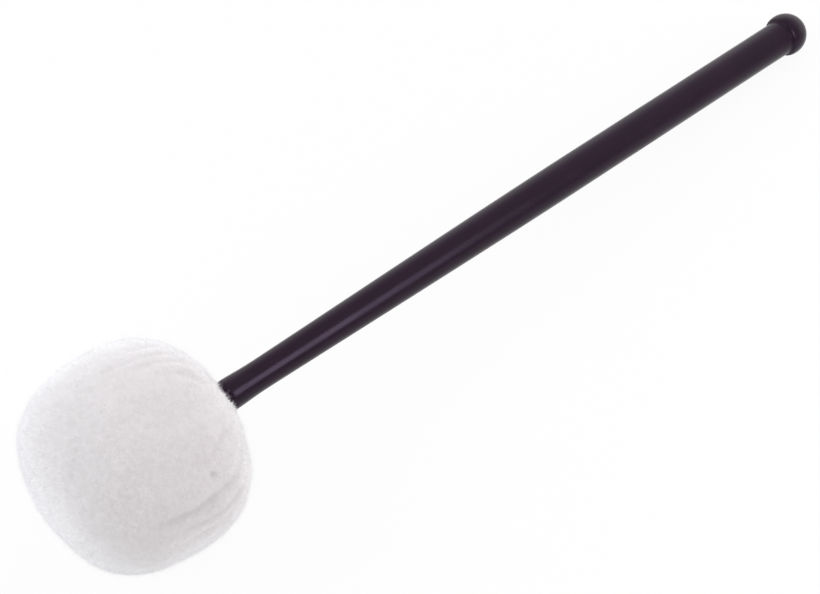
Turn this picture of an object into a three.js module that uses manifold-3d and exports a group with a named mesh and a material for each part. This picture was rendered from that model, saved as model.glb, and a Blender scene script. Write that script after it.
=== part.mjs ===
// Bass drum mallet: a turned wood handle with a ball knob, and a padded head under a gathered fleece cover.
//
// The mallet's own frame has its axis along X, from the head's crown at x = 0 to the end of the knob.
// In the part's frame it lies at rest, on a flat of the head and on the underside of the knob, with Z up.

import * as THREE from "three";
import Module from "manifold-3d";
import { mergeVertices } from "three/addons/utils/BufferGeometryUtils.js";

// Driving sizes, in millimetres
const total_length = 412; // crown of the head to the end of the knob
const head_diameter = 88.9; // over the pile, at the widest circle
const crown_reach = 40.6; // widest circle to the crown
const barrel_reach = 41.2; // widest circle to the end of the head's round, at the neck
const barrel_share = 0.82; // roundness of the head's outline: 1 is an ellipse, 0 a cylinder
const rest_depth = 0.5; // how far the pile is pressed flat where the head rests

// Handle
const grip_diameter = 15.9;
const neck_diameter = 12.3;
const tenon_diameter = 11;
const tenon_chamfer = 1;
const neck_straight = 8; // plain neck that shows before the taper begins
const taper_length = 175;
const taper_ease_shares = [0.1, 0.3]; // how far the taper eases in at the neck and out at the grip
const knob_diameter = 19.4;
const knob_shoulder = 2.1; // back edge of the ball, behind its centre
const knob_back = 1.2; // depth of the round that leads from that edge down to the cove
const knob_cove = 0.7; // radius of the cove between the knob and the grip

// Layers of the head
const cover_wall = 7; // backing and pile
const cup_wall = 6.2; // soft felt
const core_diameter = 34.9;
const core_length = 38;
const core_chamfer = 1.5;

// Strip of hard felt round the core
const wrap_turns = 4;
const wrap_gap = 0.5; // least gap between one turn and the next
const wrap_skive_share = 0.3; // thickness of the strip's thinned ends, of its full thickness
const wrap_skive_turn_share = 0.12; // length of each thinned end, of one turn

// Screw and washer that hold the core on the tenon
const washer_diameter = 20;
const washer_hole_diameter = 4.8;
const washer_thickness = 1.2;
const screw_head_diameter = 8;
const screw_head_height = 2.6;
const screw_shank_diameter = 4;
const screw_length = 22; // under the head
const screw_point = 4;
const screw_slot_width = 1.1;
const screw_slot_depth = 1.1;

// Thread that joins the felt cups
const stitch_thread_diameter = 0.8;
const stitch_reach = 3.2; // from the joint to the far side of each stitch
const stitch_count = 24;
const stitch_band_depth = 1.4; // how far the thread draws the felt in
const stitch_band_margin = 1.4; // felt drawn in beyond the stitches
const stitch_band_slope = 2.5; // from the drawn-in band up to the cup's round

// Drawstring round the neck
const string_diameter = 1.2;
const string_turns = 3;
const string_gap = 0.6; // between one turn and the next

// Gathers of the cover, from the neck towards the widest circle
const pleat_depth = 2.3;
const lip_stand = 3.8; // how far the hem's lip runs out along the handle, past the head's round
const lip_width = 1.9; // radial width of the lip
const lip_round = 1.4; // how far the lip's crest stands before its two edges
const shoulder_width = 3.2; // radial width of the gathered shoulder between the lip and the head's round

// Clearances
const fit_gap = 0.3; // between pieces that touch
const cover_gap = 0.45; // between the felt and the cover
const cut_overrun = 5; // how far a cutter stands past what it cuts

// The pleats round the head, from straight down by way of its -Y side: where each one begins, as a share
// of the turn, its depth, and how far from the widest circle towards the neck its crease begins.
const pleat_edge_shares = [0, 0.094, 0.186, 0.278, 0.344, 0.411, 0.478, 0.578, 0.672, 0.75, 0.847, 0.93];
const pleat_depth_shares = [0.7, 0.85, 0.8, 1, 0.85, 0.9, 0.7, 0.9, 0.75, 1, 0.85, 0.75];
const pleat_start_shares = [0.3, 0.22, 0.12, 0.02, 0.08, 0.04, 0.3, 0.16, 0.26, 0.08, 0.2, 0.34];
// Across a pleat, from one crest to the next: where its creases and flanks lie, and how deep they are.
const pleat_column_shares = [0, 0.32, 0.5, 0.68];
const pleat_column_depth_shares = [0, 0.3, 1, 0.3];

// Facets
const handle_sides = 56;
const felt_sides = 36;
const small_sides = 24;
const quarter_bands = 4; // bands from the widest circle to a pole of each barrel of felt
const cover_bands = 6; // bands from the widest circle to a pole of the cover's outside
const taper_bands = 12;
const knob_bands = 16;
const cove_bands = 3;
const wrap_steps = 26; // in each turn
const cord_sides = 6;
const string_steps = 26; // in each turn
const stitch_steps = 6; // in each stitch

// Sizes worked out from these
const head_radius = head_diameter / 2;
const head_x = crown_reach;
const neck_radius = neck_diameter / 2;
const tenon_radius = tenon_diameter / 2;
const grip_radius = grip_diameter / 2;
const knob_radius = knob_diameter / 2;
const knob_x = total_length - knob_radius;
const core_radius = core_diameter / 2;

const hem_reach = barrel_reach + lip_stand;
const hem_x = head_x + hem_reach;
const neck_bore = neck_radius + fit_gap;

const cup = {
  radius: head_radius - cover_wall - cover_gap,
  crown: crown_reach - cover_wall - cover_gap,
  neck: barrel_reach - cover_wall - cover_gap,
};
const cavity = {
  radius: cup.radius + cover_gap,
  crown: cup.crown + cover_gap,
  neck: cup.neck + cover_gap,
};
const inside = {
  radius: cup.radius - cup_wall,
  crown: cup.crown - cup_wall,
  neck: cup.neck - cup_wall,
};
const filling = {
  radius: inside.radius - fit_gap,
  crown: inside.crown - fit_gap,
  neck: inside.neck - fit_gap,
};

const core_x = head_x + (inside.neck - inside.crown - core_length) / 2;
const core_neck_x = core_x + core_length;
const counterbore_depth = washer_thickness + screw_head_height + 3 * fit_gap;
const seat_x = core_x + counterbore_depth;
const tenon_x = seat_x + fit_gap;
const washer_x = seat_x - fit_gap - washer_thickness;
const screw_x = washer_x - fit_gap; // underside of the screw's head

const string_pitch = string_diameter + string_gap;
const string_radius = neck_bore + string_diameter / 2;
const string_length = string_turns * string_pitch + string_diameter;
const chamber_radius = string_radius + string_diameter / 2 + cover_gap;
const string_x = head_x + cup.neck + fit_gap;
const chamber_x = string_x + string_length + fit_gap;

const wasm = await Module();
wasm.setup();

/** A barrel's outline as [x, radius] points, from the crown's pole to the neck's pole. */
function barrel(shape, bands = quarter_bands) {
  const points = [[head_x - shape.crown, 0]];
  for (let i = 1; i < 2 * bands; i++) {
    const angle = (Math.PI * i) / (2 * bands);
    const along = Math.pow(Math.abs(Math.cos(angle)), barrel_share);
    const x = i < bands ? head_x - shape.crown * along : head_x + shape.neck * along;
    points.push([x, shape.radius * Math.pow(Math.sin(angle), barrel_share)]);
  }
  points.push([head_x + shape.neck, 0]);
  return points;
}

/** The stretch of an outline where a measure of its points is above zero, cut off where it is zero. */
function clip(points, measure) {
  const kept = [];
  points.forEach((point, i) => {
    const here = measure(point);
    if (i > 0) {
      const before = measure(points[i - 1]);
      if (here > 0 !== before > 0) {
        const share = before / (before - here);
        kept.push(points[i - 1].map((value, axis) => value + share * (point[axis] - value)));
      }
    }
    if (here > 0) kept.push(point);
  });
  return kept;
}

/** The stretch of an outline that lies before a place on the axis. */
function before(points, place) {
  return clip(points, ([x]) => place - x);
}

/** The stretch of an outline that lies behind a place on the axis. */
function behind(points, place) {
  return clip(points, ([x]) => x - place);
}

/** An outline without its end at the neck, from where that end is narrower than a radius. */
function openAtNeck(points, narrowest) {
  return clip(points, ([x, radius]) => (x < head_x ? narrowest : radius - narrowest));
}

/** A body turned round the X axis from an outline of [x, radius] points. */
function turned(outline, sides) {
  const points = outline.map(([x, radius]) => new THREE.Vector2(radius, x));
  return new THREE.LatheGeometry(points, sides).rotateZ(-Math.PI / 2);
}

/** A turned body whose outline closes on itself, for rings and bored bodies. */
function turnedRing(outline, sides) {
  return turned([...outline, outline[0]], sides);
}

/** A geometry as a solid that can be cut and joined. */
function solidOf(geometry) {
  const bare = geometry.clone();
  bare.deleteAttribute("normal");
  bare.deleteAttribute("uv");
  const merged = mergeVertices(bare);
  const mesh = new wasm.Mesh({
    numProp: 3,
    vertProperties: new Float32Array(merged.attributes.position.array),
    triVerts: new Uint32Array(merged.index.array),
  });
  return new wasm.Manifold(mesh);
}

/** A solid as a geometry with flat facets. */
function geometryOf(solid) {
  const mesh = solid.getMesh();
  const geometry = new THREE.BufferGeometry();
  geometry.setAttribute("position", new THREE.Float32BufferAttribute(mesh.vertProperties, 3));
  geometry.setIndex(new THREE.Uint32BufferAttribute(mesh.triVerts, 1));
  const flat = geometry.toNonIndexed();
  flat.computeVertexNormals();
  return flat;
}

/** A round cord of one unbroken tube along a curve. */
function cordAlong(curve, diameter, steps) {
  const section = new THREE.Shape();
  for (let i = 0; i < cord_sides; i++) {
    const angle = (2 * Math.PI * i) / cord_sides;
    const x = (diameter / 2) * Math.cos(angle);
    const y = (diameter / 2) * Math.sin(angle);
    if (i === 0) section.moveTo(x, y);
    else section.lineTo(x, y);
  }
  section.closePath();
  return new THREE.ExtrudeGeometry(section, { steps, bevelEnabled: false, extrudePath: curve });
}

/** The least distance between points of a curve that lie more than a given length apart along it. */
function leastReturn(curve, samples, apart) {
  const points = curve.getSpacedPoints(samples);
  const skip = Math.ceil((apart / curve.getLength()) * samples);
  let least = Infinity;
  for (let i = 0; i < points.length; i++) {
    for (let j = i + skip; j < points.length; j++) {
      least = Math.min(least, points[i].distanceTo(points[j]));
    }
  }
  return least;
}

// Handle

/** The handle's outline, from the pilot hole in the tenon's end to the end of the knob. */
function handleOutline() {
  const pilot_radius = screw_shank_diameter / 2 + fit_gap;
  const pilot_end = screw_x + screw_length + fit_gap;
  const outline = [
    [pilot_end + pilot_radius, 0],
    [pilot_end - screw_point, pilot_radius],
    [tenon_x, pilot_radius],
    [tenon_x, tenon_radius - tenon_chamfer],
    [tenon_x + tenon_chamfer, tenon_radius],
    [core_neck_x + fit_gap, tenon_radius],
    [core_neck_x + fit_gap, neck_radius],
  ];
  const start = new THREE.Vector2(hem_x + neck_straight, neck_radius);
  const end = new THREE.Vector2(start.x + taper_length, grip_radius);
  const ease_in = new THREE.Vector2(start.x + taper_length * taper_ease_shares[0], neck_radius);
  const ease_out = new THREE.Vector2(end.x - taper_length * taper_ease_shares[1], grip_radius);
  const taper = new THREE.CubicBezierCurve(start, ease_in, ease_out, end);
  outline.push(...taper.getPoints(taper_bands).map((p) => [p.x, p.y]));
  outline.push(...knobOutline());
  return outline;
}

/** The knob's outline: a cove up from the grip, a rounded back edge and the ball to its pole. */
function knobOutline() {
  const edge_radius = Math.sqrt(knob_radius ** 2 - knob_shoulder ** 2);
  const back_x = knob_x - knob_shoulder - knob_back;
  const cove = [];
  for (let i = 0; i <= cove_bands; i++) {
    const angle = (Math.PI / 2) * (i / cove_bands);
    const x = back_x - knob_cove * (1 - Math.sin(angle));
    cove.push([x, grip_radius + knob_cove * (1 - Math.cos(angle))]);
  }
  const foot = new THREE.Vector2(...cove[cove_bands]);
  const edge = new THREE.Vector2(knob_x - knob_shoulder, edge_radius);
  const bend = new THREE.Vector2(back_x, edge_radius - knob_back * (knob_shoulder / edge_radius));
  const back = new THREE.QuadraticBezierCurve(foot, bend, edge).getPoints(cove_bands);
  const ball = [];
  const first = Math.acos(-knob_shoulder / knob_radius);
  for (let i = 1; i <= knob_bands; i++) {
    const angle = first * (1 - i / knob_bands);
    const radius = i === knob_bands ? 0 : knob_radius * Math.sin(angle);
    ball.push([knob_x + knob_radius * Math.cos(angle), radius]);
  }
  return [...cove, ...back.slice(1).map((p) => [p.x, p.y]), ...ball];
}

// Wood core, washer and screw

/** The bored core with its counterbore at the crown end. */
function coreGeometry() {
  const bore = tenon_radius + fit_gap;
  const counterbore = washer_diameter / 2 + fit_gap;
  return turnedRing(
    [
      [seat_x, bore],
      [seat_x, counterbore],
      [core_x, counterbore],
      [core_x, core_radius - core_chamfer],
      [core_x + core_chamfer, core_radius],
      [core_neck_x - core_chamfer, core_radius],
      [core_neck_x, core_radius - core_chamfer],
      [core_neck_x, bore],
    ],
    felt_sides,
  );
}

/** The flat washer on the counterbore's floor. */
function washerGeometry() {
  const hole = washer_hole_diameter / 2;
  const rim = washer_diameter / 2;
  return turnedRing(
    [
      [washer_x + washer_thickness, hole],
      [washer_x, hole],
      [washer_x, rim],
      [washer_x + washer_thickness, rim],
    ],
    small_sides,
  );
}

/** The wood screw: a domed head with a slot, a plain shank and a point. */
function screwGeometry() {
  const head = screw_head_diameter / 2;
  const shank = screw_shank_diameter / 2;
  const top = screw_x - screw_head_height;
  const dome = new THREE.QuadraticBezierCurve(
    new THREE.Vector2(top, 0),
    new THREE.Vector2(top, head),
    new THREE.Vector2(screw_x, head),
  ).getPoints(cove_bands + 1);
  const outline = dome.map((p) => [p.x, p.y]);
  outline.push([screw_x, shank]);
  outline.push([screw_x + screw_length - screw_point, shank]);
  outline.push([screw_x + screw_length, 0]);
  const body = solidOf(turned(outline, small_sides));
  const slot = new THREE.BoxGeometry(
    screw_slot_depth + cut_overrun,
    screw_head_diameter + 2 * cut_overrun,
    screw_slot_width,
  );
  slot.translate(top + screw_slot_depth - (screw_slot_depth + cut_overrun) / 2, 0, 0);
  return geometryOf(body.subtract(solidOf(slot)));
}

// Felt

/** One strip of hard felt wound round the core, with thinned ends, trimmed to the barrel that it fills. */
function wrapGeometry() {
  const inner = core_radius + fit_gap;
  const build = filling.radius - inner;
  const pitch = (build + wrap_gap) / (wrap_turns + 1);
  const thickness = pitch - wrap_gap;
  const steps = wrap_turns * wrap_steps;
  const under = [];
  const over = [];
  for (let i = 0; i <= steps; i++) {
    const turn = (wrap_turns * i) / steps;
    const from_end = Math.min(turn, wrap_turns - turn) / wrap_skive_turn_share;
    const full = wrap_skive_share + (1 - wrap_skive_share) * Math.min(1, from_end);
    const radius = inner + pitch * turn;
    const along = new THREE.Vector2(Math.cos(2 * Math.PI * turn), Math.sin(2 * Math.PI * turn));
    under.push(along.clone().multiplyScalar(radius));
    over.push(along.clone().multiplyScalar(radius + thickness * full));
  }
  const strip = new THREE.Shape([...under, ...over.reverse()]);
  const wound = new THREE.ExtrudeGeometry(strip, { depth: core_length, steps: 1, bevelEnabled: false });
  wound.rotateY(Math.PI / 2).translate(core_x, 0, 0);
  const space = solidOf(turned(barrel(filling), felt_sides));
  console.log("least gap of the hard felt strip to itself " + (pitch - thickness).toFixed(2) + " mm");
  return geometryOf(solidOf(wound).intersect(space));
}

/** The domed pad over the core's crown end. */
function crownPadGeometry() {
  const face = core_x - fit_gap;
  return turned([...before(barrel(filling), face), [face, 0]], felt_sides);
}

/** The domed pad at the core's neck end, bored for the handle. */
function neckPadGeometry() {
  const face = core_neck_x + fit_gap;
  const dome = openAtNeck(behind(barrel(filling), face), neck_bore);
  return turnedRing([[face, neck_bore], ...dome], felt_sides);
}

/** The end of a cup's outside at the joint: the joint's edge and the band that the stitches draw in. */
function bandOutline(side) {
  const low = cup.radius - stitch_band_depth;
  return [
    [head_x + (side * fit_gap) / 2, low],
    [head_x + side * (stitch_reach + stitch_band_margin), low],
  ];
}

const band_reach = stitch_reach + stitch_band_margin + stitch_band_slope;

/** The soft felt half shell on the crown side. */
function crownCupGeometry() {
  const outer = before(barrel(cup), head_x - band_reach);
  const inner = before(barrel(inside), head_x - fit_gap / 2);
  return turned([...outer, ...bandOutline(-1).reverse(), ...inner.reverse()], felt_sides);
}

/** The soft felt half shell on the neck side, bored for the handle. */
function neckCupGeometry() {
  const outer = openAtNeck(behind(barrel(cup), head_x + band_reach), neck_bore);
  const inner = openAtNeck(behind(barrel(inside), head_x + fit_gap / 2), neck_bore);
  return turnedRing([...bandOutline(1), ...outer, ...inner.reverse()], felt_sides);
}

/** The path of the thread that zigzags over the joint of the two cups. */
class StitchPath extends THREE.Curve {
  getPoint(share, target = new THREE.Vector3()) {
    const radius = cup.radius - stitch_band_depth + fit_gap + stitch_thread_diameter / 2;
    const room = (2 * stitch_thread_diameter) / radius;
    const angle = (2 * Math.PI - room) * share;
    const x = head_x + (stitch_reach - stitch_thread_diameter / 2) * Math.sin(stitch_count * angle);
    return target.set(x, radius * Math.sin(angle), radius * Math.cos(angle));
  }
}

// Cover and drawstring

/** The path of the drawstring: its turns round the neck, with a straight end at each side of them. */
class StringPath extends THREE.Curve {
  getPoint(share, target = new THREE.Vector3()) {
    const straight = string_diameter / (2 * Math.PI * string_radius);
    const all = string_turns + 2 * straight;
    const turn = share * all - straight;
    const wound = Math.min(string_turns, Math.max(0, turn));
    const past = (turn - wound) * 2 * Math.PI * string_radius;
    const angle = 2 * Math.PI * wound;
    const x = string_x + string_diameter / 2 + string_pitch * wound;
    return target.set(
      x,
      string_radius * Math.sin(angle) + past * Math.cos(angle),
      string_radius * Math.cos(angle) - past * Math.sin(angle),
    );
  }
}

/** The columns of the cover: the angle from straight down, the crease's depth and where it starts. */
function coverColumns() {
  const columns = [];
  pleat_edge_shares.forEach((edge, pleat) => {
    const next = pleat + 1 < pleat_edge_shares.length ? pleat_edge_shares[pleat + 1] : 1;
    pleat_column_shares.forEach((place, column) => {
      columns.push({
        angle: 2 * Math.PI * (edge + (next - edge) * place),
        depth: pleat_depth * pleat_depth_shares[pleat] * pleat_column_depth_shares[column],
        start: pleat_start_shares[pleat],
      });
    });
  });
  return columns;
}

/** The outer rows of the cover, from the crown to the lip, each with its share of the way to the neck. */
function coverRows() {
  const lip_outer = neck_bore + lip_width;
  const whole = { radius: head_radius, crown: crown_reach, neck: barrel_reach };
  const points = openAtNeck(barrel(whole, cover_bands), lip_outer + shoulder_width);
  points.push([hem_x - lip_round, lip_outer], [hem_x, neck_bore + lip_width / 2]);
  return points.map(([x, radius]) => ({ x, radius, neck: Math.max(0, (x - head_x) / hem_reach) }));
}

/** The inner rows of the cover: the lip's bore, the drawstring's chamber and the cavity back to the crown. */
function coverLining() {
  return [
    [hem_x - lip_round, neck_bore],
    [chamber_x, neck_bore],
    [chamber_x, chamber_radius],
    ...openAtNeck(barrel(cavity), chamber_radius).reverse(),
  ].map(([x, radius]) => ({ x, radius, neck: 0 }));
}

/** How deep a crease is at a share of the way from the widest circle to the neck. */
function creaseDepth(column, neck) {
  const grown = Math.min(1, Math.max(0, (neck - column.start) / (1 - column.start)));
  return column.depth * grown * (2 - grown);
}

/** The gathered bag: its pleated outside, its lip on the handle, and its lining, as one closed skin. */
function coverSkin() {
  const columns = coverColumns();
  const outer = coverRows();
  const lining = coverLining();
  const rows = [...outer, ...lining];
  const positions = [];
  rows.forEach((row, i) => {
    if (row.radius === 0) {
      positions.push(row.x, 0, 0);
      return;
    }
    const before = rows[Math.max(0, i - 1)];
    const after = rows[Math.min(rows.length - 1, i + 1)];
    const along = new THREE.Vector2(after.x - before.x, after.radius - before.radius).normalize();
    const room = Math.min(1, (row.radius - neck_bore) / (lip_width + shoulder_width));
    columns.forEach((column) => {
      const depth = creaseDepth(column, row.neck) * room;
      const x = row.x + along.y * depth;
      const radius = row.radius - along.x * depth;
      positions.push(x, -radius * Math.sin(column.angle), -radius * Math.cos(column.angle));
    });
  });
  const around = columns.length;
  const last = rows.length - 1;
  const vertex = (row, column) => {
    if (row === 0) return 0;
    return 1 + (row - 1) * around + (row === last ? 0 : column % around);
  };
  const faces = [];
  for (let row = 0; row < last; row++) {
    for (let column = 0; column < around; column++) {
      const a = vertex(row, column);
      const b = vertex(row, column + 1);
      const c = vertex(row + 1, column + 1);
      const d = vertex(row + 1, column);
      if (row > 0) faces.push(a, c, b);
      if (row < last - 1) faces.push(a, d, c);
    }
  }
  const geometry = new THREE.BufferGeometry();
  geometry.setAttribute("position", new THREE.Float32BufferAttribute(positions, 3));
  geometry.setIndex(faces);
  return geometry;
}

// How the mallet lies

/** How far an outline reaches from a centre on the axis, straight down, when the axis is tilted. */
function reachDown(outline, centre, tilt) {
  const depths = outline.map(([x, radius]) => (x - centre) * Math.sin(tilt) + radius * Math.cos(tilt));
  return Math.max(...depths);
}

/** The tilt of the axis, and the height of the head's centre, when the head's flat and the knob both rest. */
function restingPose() {
  const head = coverRows().map((row) => [row.x, row.radius]);
  const knob = knobOutline();
  let tilt = 0;
  let height = head_radius;
  for (let i = 0; i < 20; i++) {
    height = reachDown(head, head_x, tilt) - rest_depth;
    tilt = Math.asin((height - reachDown(knob, knob_x, tilt)) / (knob_x - head_x));
  }
  return { tilt, height };
}

const pose = restingPose();
const mallet = new THREE.Group();
mallet.rotation.y = pose.tilt;
mallet.position.set(-head_x * Math.cos(pose.tilt), 0, pose.height + head_x * Math.sin(pose.tilt));
mallet.updateMatrix();

/** The cover with its pile pressed flat where the head rests. */
function coverGeometry() {
  const side = head_diameter + 2 * cut_overrun;
  const floor = new THREE.BoxGeometry(side, side, cut_overrun);
  floor.translate(0, 0, -cut_overrun / 2);
  floor.applyMatrix4(mallet.matrix.clone().invert());
  return geometryOf(solidOf(coverSkin()).subtract(solidOf(floor)));
}

/** Prints the least gap of a cord to itself, measured on points along it. */
function reportGap(name, curve, diameter, samples, apart) {
  const gap = leastReturn(curve, samples, apart) - diameter;
  console.log("least gap of the " + name + " to itself " + gap.toFixed(2) + " mm");
}

const stitch_path = new StitchPath();
const stitch_all_steps = stitch_count * stitch_steps;
reportGap("stitching thread", stitch_path, stitch_thread_diameter, stitch_all_steps * 4, 4 * stitch_reach);
const string_path = new StringPath();
const string_all_steps = string_turns * string_steps;
reportGap("drawstring", string_path, string_diameter, string_all_steps * 4, Math.PI * string_radius);

const lacquer = new THREE.MeshStandardMaterial({ color: 0x302530, roughness: 0.38, metalness: 0 });
const maple = new THREE.MeshStandardMaterial({ color: 0xc9a878, roughness: 0.7, metalness: 0 });
const steel = new THREE.MeshStandardMaterial({ color: 0x9a9a9c, roughness: 0.35, metalness: 1 });
const hard_felt = new THREE.MeshStandardMaterial({ color: 0xcfc8b8, roughness: 0.95, metalness: 0 });
const soft_felt = new THREE.MeshStandardMaterial({ color: 0xe3ded2, roughness: 1, metalness: 0 });
const thread = new THREE.MeshStandardMaterial({ color: 0xece8de, roughness: 0.8, metalness: 0 });
const fleece = new THREE.MeshStandardMaterial({ color: 0xf2f0f1, roughness: 1, metalness: 0 });

const pieces = [
  ["handle", turned(handleOutline(), handle_sides), lacquer],
  ["core", coreGeometry(), maple],
  ["core_washer", washerGeometry(), steel],
  ["core_screw", screwGeometry(), steel],
  ["hard_felt_wrap", wrapGeometry(), hard_felt],
  ["crown_felt_pad", crownPadGeometry(), hard_felt],
  ["neck_felt_pad", neckPadGeometry(), hard_felt],
  ["crown_felt_cup", crownCupGeometry(), soft_felt],
  ["neck_felt_cup", neckCupGeometry(), soft_felt],
  ["felt_stitching", cordAlong(stitch_path, stitch_thread_diameter, stitch_all_steps), thread],
  ["drawstring", cordAlong(string_path, string_diameter, string_all_steps), thread],
  ["fleece_cover", coverGeometry(), fleece],
];
for (const [name, geometry, material] of pieces) {
  const mesh = new THREE.Mesh(geometry, material);
  mesh.name = name;
  mallet.add(mesh);
}

// The part's origin is under the middle of its box, on the surface that it lies on.
const part = new THREE.Group();
part.add(mallet);
const box = new THREE.Box3().setFromObject(part, true);
mallet.position.x -= (box.min.x + box.max.x) / 2;

export default part;
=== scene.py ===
import logging
import math
from dataclasses import dataclass
from enum import Enum
from typing import Any, Callable, Optional, Sequence

import bpy
import numpy as np
from mathutils import Matrix, Vector, kdtree, noise


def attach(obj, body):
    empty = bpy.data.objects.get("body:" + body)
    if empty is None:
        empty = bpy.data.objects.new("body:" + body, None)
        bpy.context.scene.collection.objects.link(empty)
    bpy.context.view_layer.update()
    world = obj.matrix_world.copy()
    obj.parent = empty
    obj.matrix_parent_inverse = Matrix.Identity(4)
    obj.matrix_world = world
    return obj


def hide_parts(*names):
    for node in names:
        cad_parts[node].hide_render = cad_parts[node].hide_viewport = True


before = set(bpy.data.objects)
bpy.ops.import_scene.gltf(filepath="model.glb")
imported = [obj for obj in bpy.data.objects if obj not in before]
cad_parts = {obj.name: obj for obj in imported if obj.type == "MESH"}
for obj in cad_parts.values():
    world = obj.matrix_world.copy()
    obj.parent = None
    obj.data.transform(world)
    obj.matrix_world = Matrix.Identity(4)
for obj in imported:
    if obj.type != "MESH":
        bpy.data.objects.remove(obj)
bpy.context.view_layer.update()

log = logging.getLogger("mallet")
logging.basicConfig(level=logging.INFO, format="%(message)s")

MM = 0.001
TURN = 2 * math.pi
SEED = 20417
CORD_SIDES = 12
STRANDS = 3
STRAND_DEPTH = 0.14
LUMP_SIZE = 5.0
FIBRE_POINTS = 5
FIBRE_CORNERS = (0, 1, 2, 3, 3, 2, 4)
FIBRE_FACES = (0, 4)
FELT_EDGE = 50.0
TURNED_EDGE = 40.0
NO_EDGE = 180.0
BAKE_MAP = "OFBake"
FOLD_SHADE = "fold"
SKIN = "skin_normal"
WHITE = (1, 1, 1, 1)
Array = np.ndarray
Colour = tuple[float, float, float, float]
Triple = tuple[float, float, float]


def srgb(*parts: float) -> Colour:
    """A colour as it shows on a screen, from 0 to 255, in the linear values that shaders use."""
    linear = [p / 255 / 12.92 if p / 255 <= 0.04045 else ((p / 255 + 0.055) / 1.055) ** 2.4 for p in parts]
    return (linear[0], linear[1], linear[2], 1.0)


# Shader expressions


class Wire:
    """One output of a shader node, so that node maths can be written as a Python expression."""

    def __init__(self, tree: "ShaderTree", socket: Any) -> None:
        """Keeps the tree and the socket."""
        self.tree, self.socket = tree, socket

    def _maths(self, operation: str, first: Any, second: Any) -> "Wire":
        """The value of one Math node, whose operands are Wires or numbers."""
        return self.tree.node("ShaderNodeMath", {"operation": operation}, {0: first, 1: second})[0]

    def __add__(self, other: Any) -> "Wire":
        """This value plus another."""
        return self._maths("ADD", self, other)

    def __radd__(self, other: Any) -> "Wire":
        """A number plus this value."""
        return self._maths("ADD", other, self)

    def __sub__(self, other: Any) -> "Wire":
        """This value minus another."""
        return self._maths("SUBTRACT", self, other)

    def __rsub__(self, other: Any) -> "Wire":
        """A number minus this value."""
        return self._maths("SUBTRACT", other, self)

    def __mul__(self, other: Any) -> "Wire":
        """This value times another."""
        return self._maths("MULTIPLY", self, other)

    def __rmul__(self, other: Any) -> "Wire":
        """A number times this value."""
        return self._maths("MULTIPLY", other, self)

    def at_most(self, limit: float) -> "Wire":
        """This value, or the limit where it is higher."""
        return self._maths("MINIMUM", self, limit)


class Made:
    """A node that the tree has made, whose outputs are read by number or name."""

    def __init__(self, tree: "ShaderTree", node: Any) -> None:
        """Keeps the tree and the node."""
        self.tree, self.raw = tree, node

    def __getitem__(self, key: Any) -> Wire:
        """The output of that number or name."""
        return Wire(self.tree, self.raw.outputs[key])


class ShaderTree:
    """The node tree of one material or world."""

    def __init__(self, owner: Any) -> None:
        """Empties a tree.

        Args:
            owner: the material or world that has it.
        """
        owner.use_nodes = True
        self.nodes, self.links = owner.node_tree.nodes, owner.node_tree.links
        self.nodes.clear()

    def node(self, kind: str, settings: Optional[dict] = None, values: Optional[dict] = None) -> Made:
        """Makes a node.

        Args:
            kind: the node's type.
            settings: its settings, set first.
            values: the values or links of its inputs, by number or name.

        Returns:
            The node.
        """
        made = self.nodes.new(kind)
        for name, value in (settings or {}).items():
            setattr(made, name, value)
        for key, value in (values or {}).items():
            if isinstance(value, Wire):
                self.links.new(value.socket, made.inputs[key])
            else:
                made.inputs[key].default_value = value
        return Made(self, made)

    def ramp(self, value: Wire, low: float, high: float) -> Wire:
        """A smooth step of a value, from 0 at low to 1 at high."""
        values = {"Value": value, "From Min": low, "From Max": high}
        return self.node("ShaderNodeMapRange", {"interpolation_type": "SMOOTHSTEP"}, values)[0]

    def place(self, scale: Sequence[float] = (1, 1, 1), turn: Sequence[float] = (0, 0, 0)) -> Wire:
        """The place on the object, scaled along each axis and turned about it, in radians."""
        values = {"Vector": self.node("ShaderNodeTexCoord")["Object"], "Rotation": turn, "Scale": scale}
        return self.node("ShaderNodeMapping", {}, values)[0]

    def grain(self, place: Wire, per_metre: float, detail: float = 3.0, rough: float = 0.5) -> Wire:
        """Noise from 0 to 1 over a place: its scale, its octaves and how strong the finer ones are."""
        values = {"Vector": place, "Scale": per_metre, "Detail": detail, "Roughness": rough}
        return self.node("ShaderNodeTexNoise", {}, values)["Fac"]

    def read(self, name: str) -> Made:
        """The node that reads what mark() has stored on a mesh."""
        return self.node("ShaderNodeAttribute", {"attribute_name": name})

    def blend(self, share: Any, first: Any, second: Any) -> Wire:
        """A mix of two colours, with that share of the second."""
        settings = {"data_type": "RGBA", "blend_type": "MIX"}
        return self.node("ShaderNodeMix", settings, {0: share, 6: first, 7: second})[2]

    def bump(self, height: Wire, depth: float, strength: float, under: Optional[Wire] = None) -> Wire:
        """Turns a height into a normal.

        Args:
            height: the height, from 0 to 1.
            depth: how many metres a height of 1 is.
            strength: how strong the bump is.
            under: the normal that it lies on.

        Returns:
            The normal.
        """
        values: dict = {"Strength": strength, "Distance": depth, "Height": height}
        if under is not None:
            values["Normal"] = under
        return self.node("ShaderNodeBump", {}, values)[0]


class Finish:
    """A finish, which paints one material."""

    name: str

    def paint(self, tree: ShaderTree) -> dict:
        """Adds the finish's nodes.

        Args:
            tree: the material's tree.

        Returns:
            The values or links of the Principled shader's sockets.
        """
        raise NotImplementedError

    def surface(self, tree: ShaderTree) -> Wire:
        """The finish's shader."""
        return tree.node("ShaderNodeBsdfPrincipled", {}, self.paint(tree))[0]

    def material(self) -> Any:
        """The finish's material, made the first time that it is asked for.

        Returns:
            The Blender material.
        """
        title = self.name + "_finish"
        made = bpy.data.materials.get(title)
        if made is None:
            made = bpy.data.materials.new(title)
            tree = ShaderTree(made)
            tree.node("ShaderNodeOutputMaterial", {}, {"Surface": self.surface(tree)})
        return made


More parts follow.
